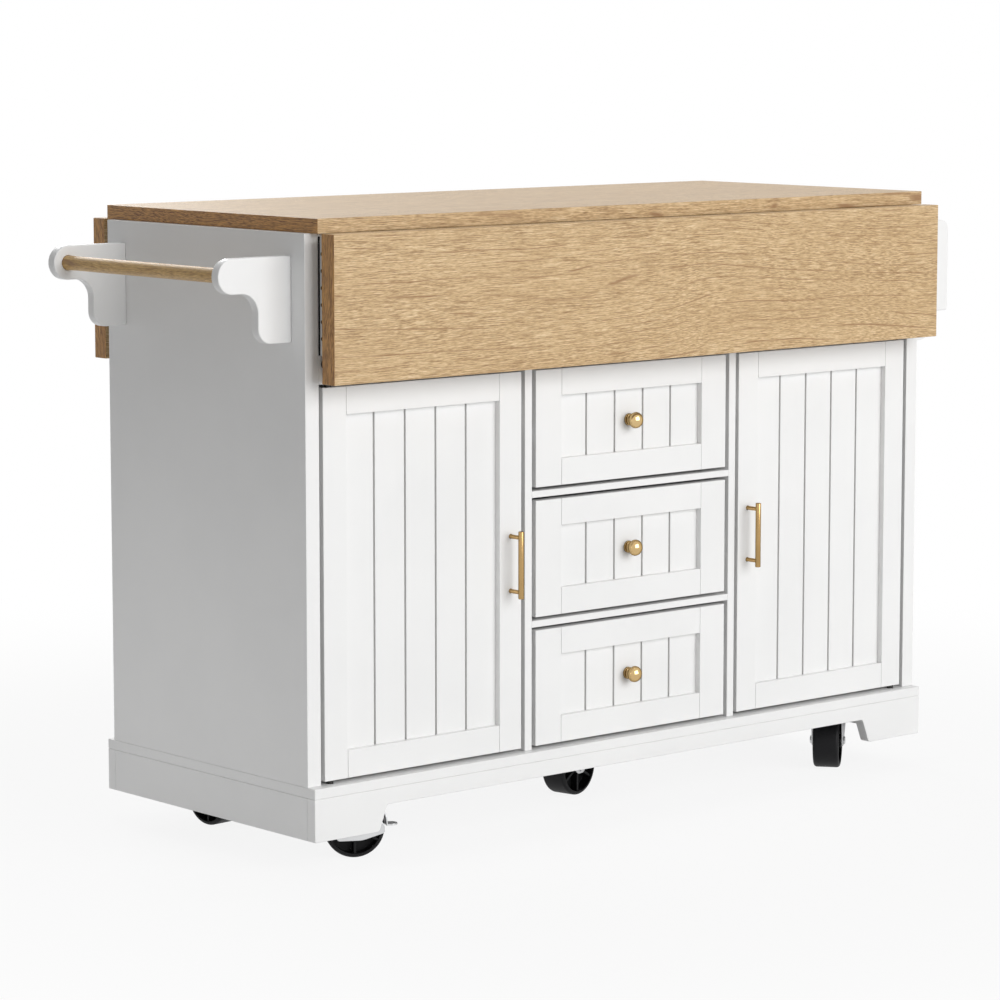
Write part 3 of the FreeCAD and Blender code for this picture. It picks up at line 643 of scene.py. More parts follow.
@dataclass
class Solid:
    """Points and faces of one closed shape."""

    points: list[Vector] = field(default_factory=list)
    faces: list[tuple[int, ...]] = field(default_factory=list)

    @staticmethod
    def box(corner: Point, opposite: Point) -> "Solid":
        """Closed box between two opposite corners.

        Args:
            corner: one corner.
            opposite: the corner across the box.

        Returns:
            The box.
        """
        xs, ys, zs = (sorted(ends) for ends in zip(corner, opposite))
        points = [Vector((x, y, z)) for x in xs for y in ys for z in zs]
        faces = [(0, 1, 3, 2), (4, 6, 7, 5), (0, 4, 5, 1), (2, 3, 7, 6), (0, 2, 6, 4), (1, 5, 7, 3)]
        return Solid(points, faces)

    def span(self) -> Vector:
        """Size of the shape's own box."""
        return Vector([max(values) - min(values) for values in zip(*self.points)])

    def middle(self) -> Vector:
        """Middle of the shape's own box."""
        return Vector([(max(values) + min(values)) / 2 for values in zip(*self.points)])

    def add(self, other: "Solid") -> None:
        """Append another shape's points and faces to this one.

        Args:
            other: the shape.
        """
        start = len(self.points)
        self.points += other.points
        self.faces += [tuple(start + i for i in face) for face in other.faces]


class Workshop:
    """Makes pieces from CAD nodes and profiles, and fits them to their bodies."""

    weld_digits = 6
    flat_angle = math.radians(0.5)
    edge_angle = math.radians(28.0)
    edge_segments = 2
    joint_line = 0.0005
    rail_limit = 0.060

    def __init__(self, nodes: Mapping[str, bpy.types.Object], record: Mapping) -> None:
        """Read where each node belongs.

        Args:
            nodes: CAD objects by name.
            record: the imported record.
        """
        behaviour = record["behaviour"]
        self.nodes = nodes
        self.bodies = {n: body for body, names in behaviour["bodies"].items() for n in names}
        self.slots = {row["node"]: row["material_slot"] for row in record["subparts"]}
        self.joints = {row["name"]: row for row in behaviour["joints"]}
        self.materials: dict[str, bpy.types.Material] = {}

    def material(self, finish: Finish) -> bpy.types.Material:
        """A finish's material, built once.

        Args:
            finish: the finish.

        Returns:
            Its material.
        """
        if finish.name not in self.materials:
            self.materials[finish.name] = finish.material()
        return self.materials[finish.name]

    def solids(self, node: str) -> list[Solid]:
        """Closed shapes of a CAD node, each welded by itself.

        Args:
            node: the node's name.

        Returns:
            Its shapes, in the order of the faces.
        """
        mesh = self.nodes[node].data
        keys = [tuple(round(c, self.weld_digits) for c in v.co) for v in mesh.vertices]
        shapes: list[Solid] = []
        index: dict[tuple, int] = {}
        open_edges: set[tuple[int, int]] = set()
        shape = Solid()
        for polygon in mesh.polygons:
            corners = []
            for vertex in polygon.vertices:
                key = keys[vertex]
                if key not in index:
                    index[key] = len(shape.points)
                    shape.points.append(Vector(key))
                corners.append(index[key])
            if len(set(corners)) < len(corners):
                continue
            shape.faces.append(tuple(corners))
            for edge in zip(corners, corners[1:] + corners[:1]):
                if edge[::-1] in open_edges:
                    open_edges.remove(edge[::-1])
                else:
                    open_edges.add(edge)
            if not open_edges:
                shapes.append(shape)
                shape, index = Solid(), {}
        if shape.faces:
            shapes.append(shape)
        return shapes

    def piece(self, name: str, shapes: Iterable[Solid], finish: Finish,
              radius: float = 0.0) -> bpy.types.Object:
        """Object with smooth faces from closed shapes.

        Args:
            name: the piece's name.
            shapes: its shapes.
            finish: its finish.
            radius: width of the rounding of its sharp edges, 0 for none.

        Returns:
            The new object.
        """
        whole = Solid()
        for shape in shapes:
            whole.add(shape)
        mesh = bpy.data.meshes.new(name)
        mesh.from_pydata(whole.points, [], whole.faces)
        work = bmesh.new()
        work.from_mesh(mesh)
        bmesh.ops.dissolve_limit(
            work, angle_limit=self.flat_angle, verts=work.verts, edges=work.edges)
        bmesh.ops.recalc_face_normals(work, faces=work.faces)
        for face in work.faces:
            face.smooth = True
        work.to_mesh(mesh)
        work.free()
        mesh.materials.append(self.material(finish))
        piece = bpy.data.objects.new(name, mesh)
        bpy.context.scene.collection.objects.link(piece)
        if radius:
            self.soften(piece, radius)
        return piece

    def soften(self, piece: bpy.types.Object, radius: float) -> None:
        """Round a piece's sharp edges.

        Args:
            piece: the piece.
            radius: width of the rounding.
        """
        bevel = piece.modifiers.new("soft_edges", "BEVEL")
        bevel.width = radius
        bevel.segments = self.edge_segments
        bevel.limit_method = "ANGLE"
        bevel.angle_limit = self.edge_angle
        bevel.use_clamp_overlap = False
        bevel.harden_normals = True

    def fit(self, piece: bpy.types.Object, body: str, slot: str, *replaced: str) -> None:
        """Let a piece ride on its body and stand for CAD nodes.

        Args:
            piece: the piece.
            body: the body that carries it.
            slot: the record's material slot; not used.
            replaced: CAD nodes that it stands for.
        """
        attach(piece, body)
        if replaced:
            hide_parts(*replaced)
        LOG.info("%s rides on %s with %d faces", piece.name, body, len(piece.data.polygons))

    def softened(self, node: str, name: str, finish: Finish, radius: float) -> None:
        """Put a CAD node's shape with rounded edges in its place.

        Args:
            node: the CAD node.
            name: the new piece's name.
            finish: its finish.
            radius: width of the rounding.
        """
        piece = self.piece(name, self.solids(node), finish, radius)
        self.fit(piece, self.bodies[node], self.slots[node], node)

    def framed(self, node: str, name: str, finish: Finish, panel_finish: Finish,
               radius: float) -> None:
        """Put a framed front with rounded edges in a CAD node's place.

        The rails end a hairline short, so that the joints of the frame show.

        Args:
            node: the CAD node, two stiles, two rails and a panel.
            name: the new piece's name.
            finish: the frame's finish.
            panel_finish: the panel's finish.
            radius: width of the rounding.
        """
        shapes = self.solids(node)
        widest = max(shapes, key=lambda shape: shape.span().x * shape.span().z)
        panel = {tuple(point) for point in widest.points}
        for shape in shapes:
            span, middle = shape.span(), shape.middle()
            if span.x > span.z and span.z < self.rail_limit:
                for point in shape.points:
                    point.x -= math.copysign(self.joint_line, point.x - middle.x)
        piece = self.piece(name, shapes, finish, radius)
        mesh = piece.data
        mesh.materials.append(self.material(panel_finish))
        for polygon in mesh.polygons:
            places = (tuple(mesh.vertices[i].co) for i in polygon.vertices)
            polygon.material_index = int(all(place in panel for place in places))
        self.fit(piece, self.bodies[node], self.slots[node], node)

    def dress(self, node: str, finish: Finish) -> None:
        """Give a CAD node its finish.

        Args:
            node: the CAD node.
            finish: its finish.
        """
        slots = self.nodes[node].data.materials
        slots.clear()
        slots.append(self.material(finish))
        LOG.info("%s keeps its shape and takes %s", node, finish.name)


def aimed(start: Point, towards: Point) -> Matrix:
    """Frame at a point whose Z axis looks along a direction."""
    turn = Vector(towards).to_track_quat("Z", "Y").to_matrix().to_4x4()
    return Matrix.Translation(Vector(start)) @ turn


def turned(profile: Sequence[Pair], place: Matrix, steps: int = 40) -> Solid:
    """Shape turned about the frame's Z axis.

    Args:
        profile: (radius, height) from one end to the other, both ends on the axis.
        place: the frame.
        steps: facets around the axis.

    Returns:
        The closed shape.
    """
    shape = Solid()
    rings: list[list[int]] = []
    for radius, height in profile:
        count = 1 if radius == 0 else steps
        rings.append(list(range(len(shape.points), len(shape.points) + count)))
        for step in range(count):
            angle = 2 * math.pi * step / steps
            point = Vector((radius * math.cos(angle), radius * math.sin(angle), height))
            shape.points.append(place @ point)
    for low, high in zip(rings, rings[1:]):
        for step in range(steps):
            after = (step + 1) % steps
            corners = [low[step % len(low)], low[after % len(low)],
                       high[after % len(high)], high[step % len(high)]]
            shape.faces.append(tuple(dict.fromkeys(corners)))
    return shape


def arc(centre: Pair, radii: Pair, first: float, last: float, steps: int) -> list[Pair]:
    """Points of a profile's round or oval arc.

    Args:
        centre: (radius, height) of its middle.
        radii: its reach outward and along the axis.
        first: first angle in degrees, from the outward direction.
        last: last angle in degrees.
        steps: number of spans.

    Returns:
        The points in order.
    """
    turns = [math.radians(first + (last - first) * i / steps) for i in range(steps + 1)]
    return [(centre[0] + radii[0] * math.cos(t), centre[1] + radii[1] * math.sin(t)) for t in turns]


@dataclass(frozen=True)
class ScrewHead:
    """Low domed screw head with a cross recess, in shares of its radius and its height."""

    radius: float
    height_share: float = 0.42
    recess_share: float = 0.30
    arm_share: float = 0.52
    arm_half_share: float = 0.13
    rims: tuple[Pair, ...] = ((1.0, 0.0), (0.93, 0.55), (0.66, 1.0))
    steps: int = 24

    def rings(self) -> list[list[Vector]]:
        """Rings of points from the foot up to the crown, then the recess's mouth and floor.

        Returns:
            The rings, in the screw's own frame.
        """
        height, depth = self.height_share * self.radius, self.recess_share * self.radius
        arm, half = self.arm_share * self.radius, self.arm_half_share * self.radius
        turns = [2 * math.pi * (i - 1) / self.steps for i in range(self.steps)]
        rings = []
        for share, rise in self.rims:
            rim = share * self.radius
            z = rise * height
            rings.append([Vector((rim * math.cos(t), rim * math.sin(t), z)) for t in turns])
        cross = []
        for quarter in range(4):
            turn = Matrix.Rotation(quarter * math.pi / 2, 3, "Z")
            corners = ((arm, -half), (arm, half), (half, half))
            cross += [turn @ Vector((x, y, 0)) for x, y in corners]
        return rings + [[c + Vector((0, 0, z)) for c in cross] for z in (height, height - depth)]

    def shape(self, place: Matrix) -> Solid:
        """The head on a frame's XY plane.

        Args:
            place: the frame, Z out of the surface.

        Returns:
            The closed shape.
        """
        shape = Solid()
        loops: list[list[int]] = []
        for ring in self.rings():
            start = len(shape.points)
            loops.append(list(range(start, start + len(ring))))
            shape.points += [place @ point for point in ring]
        foot, shoulder, crown, mouth, floor = loops
        for low, high in ((foot, shoulder), (shoulder, crown)):
            for i in range(self.steps):
                j = (i + 1) % self.steps
                shape.faces.append((low[i], low[j], high[j], high[i]))
        corners = len(mouth)
        stride = self.steps // corners
        for i in range(corners):
            j = (i + 1) % corners
            rim = [crown[(stride * i + k) % self.steps] for k in range(stride + 1)]
            shape.faces.append((*rim, mouth[j], mouth[i]))
            shape.faces.append((mouth[i], mouth[j], floor[j], floor[i]))
        shape.faces.append(tuple(floor))
        shape.faces.append(tuple(reversed(foot)))
        return shape

    def row(self, places: Iterable[Point], out: Point) -> list[Solid]:
        """Heads at several places that look the same way."""
        return [self.shape(aimed(place, out)) for place in places]


# Sub-assemblies

@dataclass
class OakBoards:
    """Worktop and drop leaves."""

    shop: Workshop
    edge: float = 0.0011

    def build(self) -> None:
        """Round the boards and give them their oak."""
        for oak, node in ((TOP_OAK, "worktop"), (FRONT_LEAF_OAK, "front_leaf"),
                          (REAR_LEAF_OAK, "rear_leaf")):
            self.shop.softened(node, f"{node}_board", oak, self.edge)


@dataclass
class Carcass:
    """Painted boards of the cabinet and its base, with shelves and fixings."""

    shop: Workshop
    edge: float = 0.0008
    base_edge: float = 0.0012
    shelf_edge: float = 0.0006
    screw: ScrewHead = ScrewHead(0.0040)
    screw_rows: int = 6
    screw_margin: float = 0.055

    def back_screws(self) -> list[Solid]:
        """Screw heads where the back panel is fixed to the partitions.

        Returns:
            The heads.
        """
        panel_low, panel_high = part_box("back_panel")
        partition = self.shop.solids("partitions")[0].middle()
        low, high = panel_low.z + self.screw_margin, panel_high.z - self.screw_margin
        rows = [low + (high - low) * i / (self.screw_rows - 1) for i in range(self.screw_rows)]
        places = [(side.value * partition.x, panel_high.y, z) for side in Side for z in rows]
        return self.screw.row(places, REARWARD)

    def build(self) -> None:
        """Round and paint the boards and drive the back's screws."""
        for node in ("side_panels", "partitions", "front_fascia", "drawer_dividers", "back_panel"):
            self.shop.softened(node, f"{node}_painted", WHITE, self.edge)
        for node in ("base_board", "front_skirt", "rear_skirt", "end_skirts"):
            self.shop.softened(node, f"{node}_painted", WHITE, self.base_edge)
        self.shop.softened("cupboard_shelves", "shelf_boards", LINING, self.shelf_edge)
        self.shop.dress("shelf_pins", ZINC)
        self.shop.dress("door_bushes", BLACK_STEEL)
        screws = self.shop.piece("back_panel_screws", self.back_screws(), ZINC)
        self.shop.fit(screws, "cabinet", "pin_steel")


@dataclass
class Doors:
    """Framed doors with bar handles and magnet catches."""

    shop: Workshop
    edge: float = 0.0006
    face: float = -0.236
    bar_radius: float = 0.0042
    bar_length: float = 0.100
    bar_lip: float = 0.0009
    post_radius: float = 0.0030
    post_spacing: float = 0.081
    post_inset: float = 0.6
    collar_proud: float = 0.0006
    collar_heights: Pair = (0.0004, 0.0010)
    standoff: float = 0.0235
    screw: ScrewHead = ScrewHead(0.0042)
    catch_size: Point = (0.014, 0.020, 0.044)
    catch_drop: float = 0.045
    catch_gap: float = 0.0004
    strike_size: Point = (0.013, 0.0008, 0.036)
    strike_edge: float = 0.3

    def handle(self, x: float, posts: Sequence[float]) -> list[Solid]:
        """Bar with softened ends on two posts.

        Args:
            x: middle of the stile that carries it.
            posts: heights of the posts.

        Returns:
            The bar and the posts.
        """
        r, half, lip = self.bar_radius, self.bar_length / 2, self.bar_lip
        end = [(0.0, half), (r - lip, half)]
        end += arc((r - lip, half - lip), (lip, lip), 90, 0, steps=4)[1:]
        profile = end + [(a, -b) for a, b in reversed(end)]
        shapes = [turned(profile, aimed((x, self.face - self.standoff, sum(posts) / 2), UP))]
        p, collar = self.post_radius, self.post_radius + self.collar_proud
        rim, waist = self.collar_heights
        post = [(0.0, 0.0), (collar, 0.0), (collar, rim), (p, waist),
                (p, self.standoff - self.post_inset * r), (0.0, self.standoff)]
        return shapes + [turned(post, aimed((x, self.face, z), FORWARD), steps=28) for z in posts]

    def hang(self, side: Side) -> None:
        """Finish one door and fit its handle.

        Args:
            side: the door's end of the cabinet.
        """
        body = f"{side.label}_door"
        self.shop.framed(body, f"{body}_painted", WHITE, PANEL_WHITE, self.edge)
        self.shop.dress(f"{body}_pivots", BLACK_STEEL)
        low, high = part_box(f"{body}_handle")
        middle = (low + high) / 2
        posts = [middle.z + sign * self.post_spacing / 2 for sign in BOTH_WAYS]
        pull = self.shop.piece(f"{body}_pull", self.handle(middle.x, posts), BAR_BRASS)
        self.shop.fit(pull, body, "brass", f"{body}_handle")
        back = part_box(body)[1].y
        heads = self.screw.row([(middle.x, back, z) for z in posts], REARWARD)
        self.shop.fit(self.shop.piece(f"{body}_pull_screws", heads, ZINC), body, "pin_steel")

    def catch(self, side: Side) -> None:
        """Fit a magnet on the partition and its strike plate on the door.

        Args:
            side: the door's end of the cabinet.
        """
        name, sign = side.label, side.value
        low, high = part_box(f"{name}_door")
        near = min(abs(low.x), abs(high.x)) + self.edge
        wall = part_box("partitions")[1].x
        width, depth, height = self.catch_size
        plate_width, plate_depth, plate_height = self.strike_size
        top = high.z - self.catch_drop
        middle = top - height / 2
        front = high.y + plate_depth + self.catch_gap
        housing = Solid.box((sign * wall, front, top - height),
                            (sign * (wall + width), front + depth, top))
        magnet = self.shop.piece(f"{name}_catch_magnet", [housing], LINING, self.edge)
        self.shop.fit(magnet, "cabinet", "white_lining")
        far, half = near + plate_width, plate_height / 2
        strike = Solid.box((sign * near, high.y, middle - half),
                           (sign * far, high.y + plate_depth, middle + half))
        edge = self.strike_edge * plate_depth
        plate = self.shop.piece(f"{name}_catch_plate", [strike], ZINC, edge)
        self.shop.fit(plate, f"{name}_door", "pin_steel")

    def build(self) -> None:
        """Finish both doors and their catches."""
        for side in Side:
            self.hang(side)
            self.catch(side)


@dataclass
class Drawers:
    """Framed drawer fronts with knobs, their boxes and runners."""

    shop: Workshop
    edge: float = 0.0006
    rail_edge: float = 0.0004
    base_radius: float = 0.0092
    base_lip: float = 0.0010
    base_height: float = 0.0016
    base_turn: float = 80.0
    neck_radius: float = 0.0043
    neck_inset: float = 0.0014
    neck_height: float = 0.0066
    neck_sweep: float = 0.0040
    head_radius: float = 0.0123
    head_back: float = 0.0080
    head_edge: float = 0.0160
    head_turn: float = -66.0
    length: float = 0.0255
    panel_face: float = -0.2265
    wall: float = 0.012
    screw: ScrewHead = ScrewHead(0.0040)
    screw_half: float = 0.135
    screw_margin: float = 0.024

    def knob(self, foot: Point) -> Solid:
        """Turned knob: stepped base, waisted neck and a domed head.

        Args:
            foot: middle of the base on the panel.

        Returns:
            The closed shape.
        """
        base, lip, head, edge = self.base_radius, self.base_lip, self.head_radius, self.head_edge
        neck = base - self.neck_inset
        profile = [(0.0, 0.0), (base, 0.0)]
        profile += arc((base - lip, self.base_height), (lip, lip), 0, self.base_turn, steps=4)
        waist = (neck - self.neck_radius, self.neck_sweep)
        profile += arc((neck, self.neck_height), waist, 270, 180, steps=6)
        profile += arc((0.0, edge), (head, edge - self.head_back), self.head_turn, 0, steps=10)
        profile += arc((0.0, edge), (head, self.length - edge), 0, 90, steps=14)[1:-1]
        return turned(profile + [(0.0, self.length)], aimed(foot, FORWARD), steps=48)

    def front_screws(self, body: str, knob_z: float) -> list[Solid]:
        """Screw heads inside a drawer box that hold its front and its knob.

        Args:
            body: the drawer.
            knob_z: height of the knob.

        Returns:
            The heads.
        """
        low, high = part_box(f"{body}_box")
        inside = low.y + self.wall
        rows = (low.z + self.screw_margin, high.z - self.screw_margin)
        places = [(side.value * self.screw_half, inside, z) for side in Side for z in rows]
        return self.screw.row(places + [(0.0, inside, knob_z)], REARWARD)

    def build(self) -> None:
        """Round and paint the fronts, finish boxes and runners, and fit the knobs."""
        for level in Level:
            body = f"{level.label}_drawer"
            self.shop.framed(f"{body}_front", f"{body}_face", WHITE, PANEL_WHITE, self.edge)
            self.shop.softened(f"{body}_box", f"{body}_boards", LINING, self.edge)
            self.shop.softened(f"{body}_rails", f"{body}_slides", RUNNER_ZINC, self.rail_edge)
            low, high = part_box(f"{body}_knob")
            knob_z = (low.z + high.z) / 2
            knob = self.knob((0.0, self.panel_face, knob_z))
            pull = self.shop.piece(f"{body}_pull", [knob], KNOB_BRASS_LIT_COPY)
            self.shop.fit(pull, body, "brass", f"{body}_knob")
            screws = self.shop.piece(f"{body}_screws", self.front_screws(body, knob_z), ZINC)
            self.shop.fit(screws, body, "pin_steel")
        self.shop.softened("runner_channels", "runner_tracks", RUNNER_ZINC, self.rail_edge)


@dataclass
class LeafGear:
    """Leaf hinges and folding supports, with black strips and black hole caps at their channels as
    painted shade.
    """

    shop: Workshop
    edge: float = 0.0003
    arm_edge: float = 0.0006
    face: float = 0.236
    felt_proud: float = 0.0024
    side_inner: float = 0.601
    channel_wall: float = 0.002
    channel_width: float = 0.022
    screw: ScrewHead = ScrewHead(0.0031)
    flap_screws: tuple[Pair, ...] = ((-0.018, 0.0085), (0.0, 0.0185), (0.018, 0.0085))
    plate_screws: Point = (-0.020, 0.0, 0.020)
    channel_screws: Pair = (0.012, 0.046)
    pin_limit: float = 0.008
    level_digits: int = 4
    hole_depth: float = 0.007
    hole_drop: float = 0.024
    hole_pitch: float = 0.0237
    hole_count: int = 6
    cap_radius: float = 0.0027
    cap_height: float = 0.0008
    cap_rim: float = 0.5
    cap_crown: Pair = (0.8, 0.9)

    def felts(self, flank: Flank) -> list[Solid]:
        """Upright black strips beside the channels on one long side, painted shade in the gap by
        the side panels.

        Args:
            flank: the long side.

        Returns:
            The strips.
        """
        low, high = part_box("support_channels")
        near, far = (flank.value * y for y in (self.face, self.face + self.felt_proud))
        inner, outer = self.side_inner, high.x
        return [Solid.box((side.value * inner, near, low.z), (side.value * outer, far, high.z))
                for side in Side]

    def hole_caps(self, flank: Flank) -> list[Solid]:
        """Black caps over the holes in the outer sides of the channels on one long side, painted
        shade for the dark of the holes.

        Args:
            flank: the long side.

        Returns:
            The caps.
        """
        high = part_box("support_channels")[1]
        r, h = self.cap_radius, self.cap_height
        crown = (self.cap_crown[0] * r, self.cap_crown[1] * h)
        profile = [(0.0, 0.0), (r, 0.0), (r, self.cap_rim * h), crown, (0.0, h)]
        y = flank.value * (self.face + self.hole_depth)
        rows = [high.z - self.hole_drop - i * self.hole_pitch for i in range(self.hole_count)]
        return [turned(profile, aimed((side.value * high.x, y, z), (side.value, 0, 0)), steps=20)
                for side in Side for z in rows]

    def channel_heads(self, flank: Flank) -> list[Solid]:
        """Screw heads that hold the support channels on one long side.

        Args:
            flank: the long side.

        Returns:
            The heads.
        """
        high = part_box("support_channels")[1]
        x, y = high.x - self.channel_width / 2, flank.value * (self.face + self.channel_wall)
        rows = [high.z - drop for drop in self.channel_screws]
        places = [(side.value * x, y, z) for side in Side for z in rows]
        return self.screw.row(places, (0, flank.value, 0))

    def flap_heads(self, flank: Flank) -> list[Solid]:
        """Screw heads on the inner faces of a leaf's hinge flaps.

        Args:
            flank: the leaf's long side.

        Returns:
            The heads.
        """
        places = []
        for flap in self.shop.solids(f"{flank.label}_leaf_flaps"):
            low = min(point.z for point in flap.points)
            face = min(abs(point.y) for point in flap.points if point.z < low + self.arm_edge)
            middle = flap.middle().x
            places += [(middle + x, flank.value * face, low + rise) for x, rise in self.flap_screws]
        return self.screw.row(places, (0, -flank.value, 0))

    def plate_heads(self) -> list[Solid]:
        """Screw heads under the flanges of the hinge plates, which are higher than the pins.

        Returns:
            The heads.
        """
        places = []
        for plate in self.shop.solids("leaf_hinge_plates"):
            if plate.span().z < self.pin_limit:
                continue
            top = max(point.z for point in plate.points)
            flange = [point.y for point in plate.points if point.z > top - self.arm_edge / 2]
            y = sum(flange) / len(flange)
            sheet = sorted({round(top - point.z, self.level_digits) for point in plate.points})[1]
            middle = plate.middle().x
            places += [(middle + x, y, top - sheet) for x in self.plate_screws]
        return self.screw.row(places, DOWN)

    def build(self) -> None:
        """Finish the hinges, channels, arms and tips, and fit the black shade strips, the black
        hole caps and the screws.
        """
        shop = self.shop
        shop.softened("leaf_hinge_plates", "hinge_plates", BLACK_STEEL, self.edge)
        shop.softened("support_channels", "support_tracks", POWDER, self.edge)
        plate_screws = shop.piece("hinge_plate_screws", self.plate_heads(), BLACK_STEEL)
        shop.fit(plate_screws, "cabinet", "hinge_steel")
        for flank in Flank:
            end = flank.label
            shop.softened(f"{end}_leaf_flaps", f"{end}_hinge_flaps", BLACK_STEEL, self.edge)
            shop.softened(f"{end}_support_arms", f"{end}_arms", POWDER, self.arm_edge)
            shop.softened(f"{end}_arm_tips", f"{end}_tips", BLACK_RUBBER, self.arm_edge)
            flap_screws = shop.piece(f"{end}_flap_screws", self.flap_heads(flank), BLACK_STEEL)
            shop.fit(flap_screws, f"{end}_leaf", "hinge_steel")
            # Black strips beside the channels: painted shade in the gap.
            shade_strip = shop.piece(f"{end}_felt", self.felts(flank), BLACK_SHADE_STRIP, self.edge)
            shop.fit(shade_strip, "cabinet", "tip_rubber")
            # Black caps over the channel holes: painted shade.
            caps = shop.piece(f"{end}_hole_caps", self.hole_caps(flank), BLACK_RUBBER)
            shop.fit(caps, "cabinet", "tip_rubber")
            screws = shop.piece(f"{end}_channel_screws", self.channel_heads(flank), ZINC)
            shop.fit(screws, "cabinet", "pin_steel")


@dataclass
class EndRacks:
    """Towel rack on the left end and open rack on the right end."""

    shop: Workshop
    bracket_edge: float = 0.0018
    board_edge: float = 0.0012

    def build(self) -> None:
        """Round and finish both racks."""
        self.shop.softened("towel_brackets", "towel_scrolls", WHITE, self.bracket_edge)
        self.shop.softened("towel_bar", "towel_dowel", BAR_OAK, self.board_edge)
        self.shop.softened("spice_rack_ends", "spice_scrolls", WHITE, self.bracket_edge)
        self.shop.softened("spice_rack_boards", "spice_boards", WHITE, self.board_edge)


@dataclass
class Casters:
    """Swivel casters, two of them with a brake pedal."""

    shop: Workshop
    braked: tuple[Station, ...] = (Station.FRONT_LEFT, Station.REAR_RIGHT)
    wheel_edge: float = 0.0008
    fork_edge: float = 0.0007
    plate_edge: float = 0.00035
    screw: ScrewHead = ScrewHead(0.0040)
    screw_limit: float = 0.012
    screw_rim: float = 0.0036
    axle_radius: float = 0.0040
    bolt_radius: float = 0.0070
    bolt_height: float = 0.0030
    bolt_rim: float = 0.72
    bolt_crown: float = 0.80

    def plates(self) -> list[Solid]:
        """Top plates and kingpins, with a screw head at each plate's corners.

        Returns:
            The shapes.
        """
        shapes = []
        for solid in self.shop.solids("caster_plates"):
            if solid.span().x > self.screw_limit:
                shapes.append(solid)
                continue
            middle = solid.middle()
            rim = [p.z for p in solid.points if (p - middle).to_2d().length > self.screw_rim]
            shapes += self.screw.row([(*middle.to_2d(), max(rim))], DOWN)
        return shapes

    def bolt_head(self, place: Matrix) -> Solid:
        """Six-sided bolt head or nut with a chamfered top.

        Args:
            place: the frame, Z out of the surface.

        Returns:
            The closed shape.
        """
        r, h = self.bolt_radius, self.bolt_height
        profile = [(0.0, 0.0), (r, 0.0), (r, self.bolt_rim * h), (self.bolt_crown * r, h), (0.0, h)]
        return turned(profile, place, steps=6)

    def fork(self, station: Station) -> list[Solid]:
        """A fork with its pedal pin, if it has one, and a bolt through the wheel.

        Args:
            station: the caster's place.

        Returns:
            The shapes.
        """
        pressing, axle, *pin = self.shop.solids(f"{station.label}_caster_fork")
        roll = self.shop.joints[f"{station.label}_roll"]
        centre, axis = Vector(roll["pos_m"]), Vector(roll["axis"]).normalized()
        reach = max((point - centre).dot(axis) for point in axle.points) - self.bolt_height
        r, length = self.axle_radius, 2 * reach
        shaft = [(0.0, 0.0), (r, 0.0), (r, length), (0.0, length)]
        shapes = [pressing, *pin, turned(shaft, aimed(centre - axis * reach, axis), steps=24)]
        for sign in BOTH_WAYS:
            shapes.append(self.bolt_head(aimed(centre + axis * (sign * reach), axis * sign)))
        return shapes

    def build(self) -> None:
        """Finish plates, forks, wheels and pedals."""
        shop = self.shop
        plates = shop.piece("caster_top_plates", self.plates(), ZINC, self.plate_edge)
        shop.fit(plates, "cabinet", "caster_steel", "caster_plates")
        for station in Station:
            name = station.label
            node = f"{name}_caster_fork"
            fork = shop.piece(f"{name}_fork_steel", self.fork(station), ZINC, self.fork_edge)
            shop.fit(fork, shop.bodies[node], "caster_steel", node)
            shop.softened(f"{name}_caster_wheel", f"{name}_wheel_moulding", WHEEL, self.wheel_edge)
        for station in self.braked:
            name = station.label
            shop.softened(f"{name}_brake_pedal", f"{name}_pedal_steel", ZINC, self.fork_edge)


# Studio

@dataclass(frozen=True)
class SoftBox:
    """One rectangular studio lamp; its spread is in degrees."""

    name: str
    place: Point
    aim: Point
    width: float
    height: float
    watts: float
    spread: float = 180.0

    def light(self) -> None:
        """Hang the lamp."""
        lamp = bpy.data.lights.new(self.name, "AREA")
        lamp.shape = "RECTANGLE"
        lamp.size, lamp.size_y, lamp.energy = self.width, self.height, self.watts
        lamp.spread = math.radians(self.spread)
        holder = bpy.data.objects.new(self.name, lamp)
        holder.location = self.place
        holder.rotation_mode = "QUATERNION"
        look = Vector(self.aim) - Vector(self.place)
        holder.rotation_quaternion = look.to_track_quat("-Z", "Y")
        bpy.context.scene.collection.objects.link(holder)


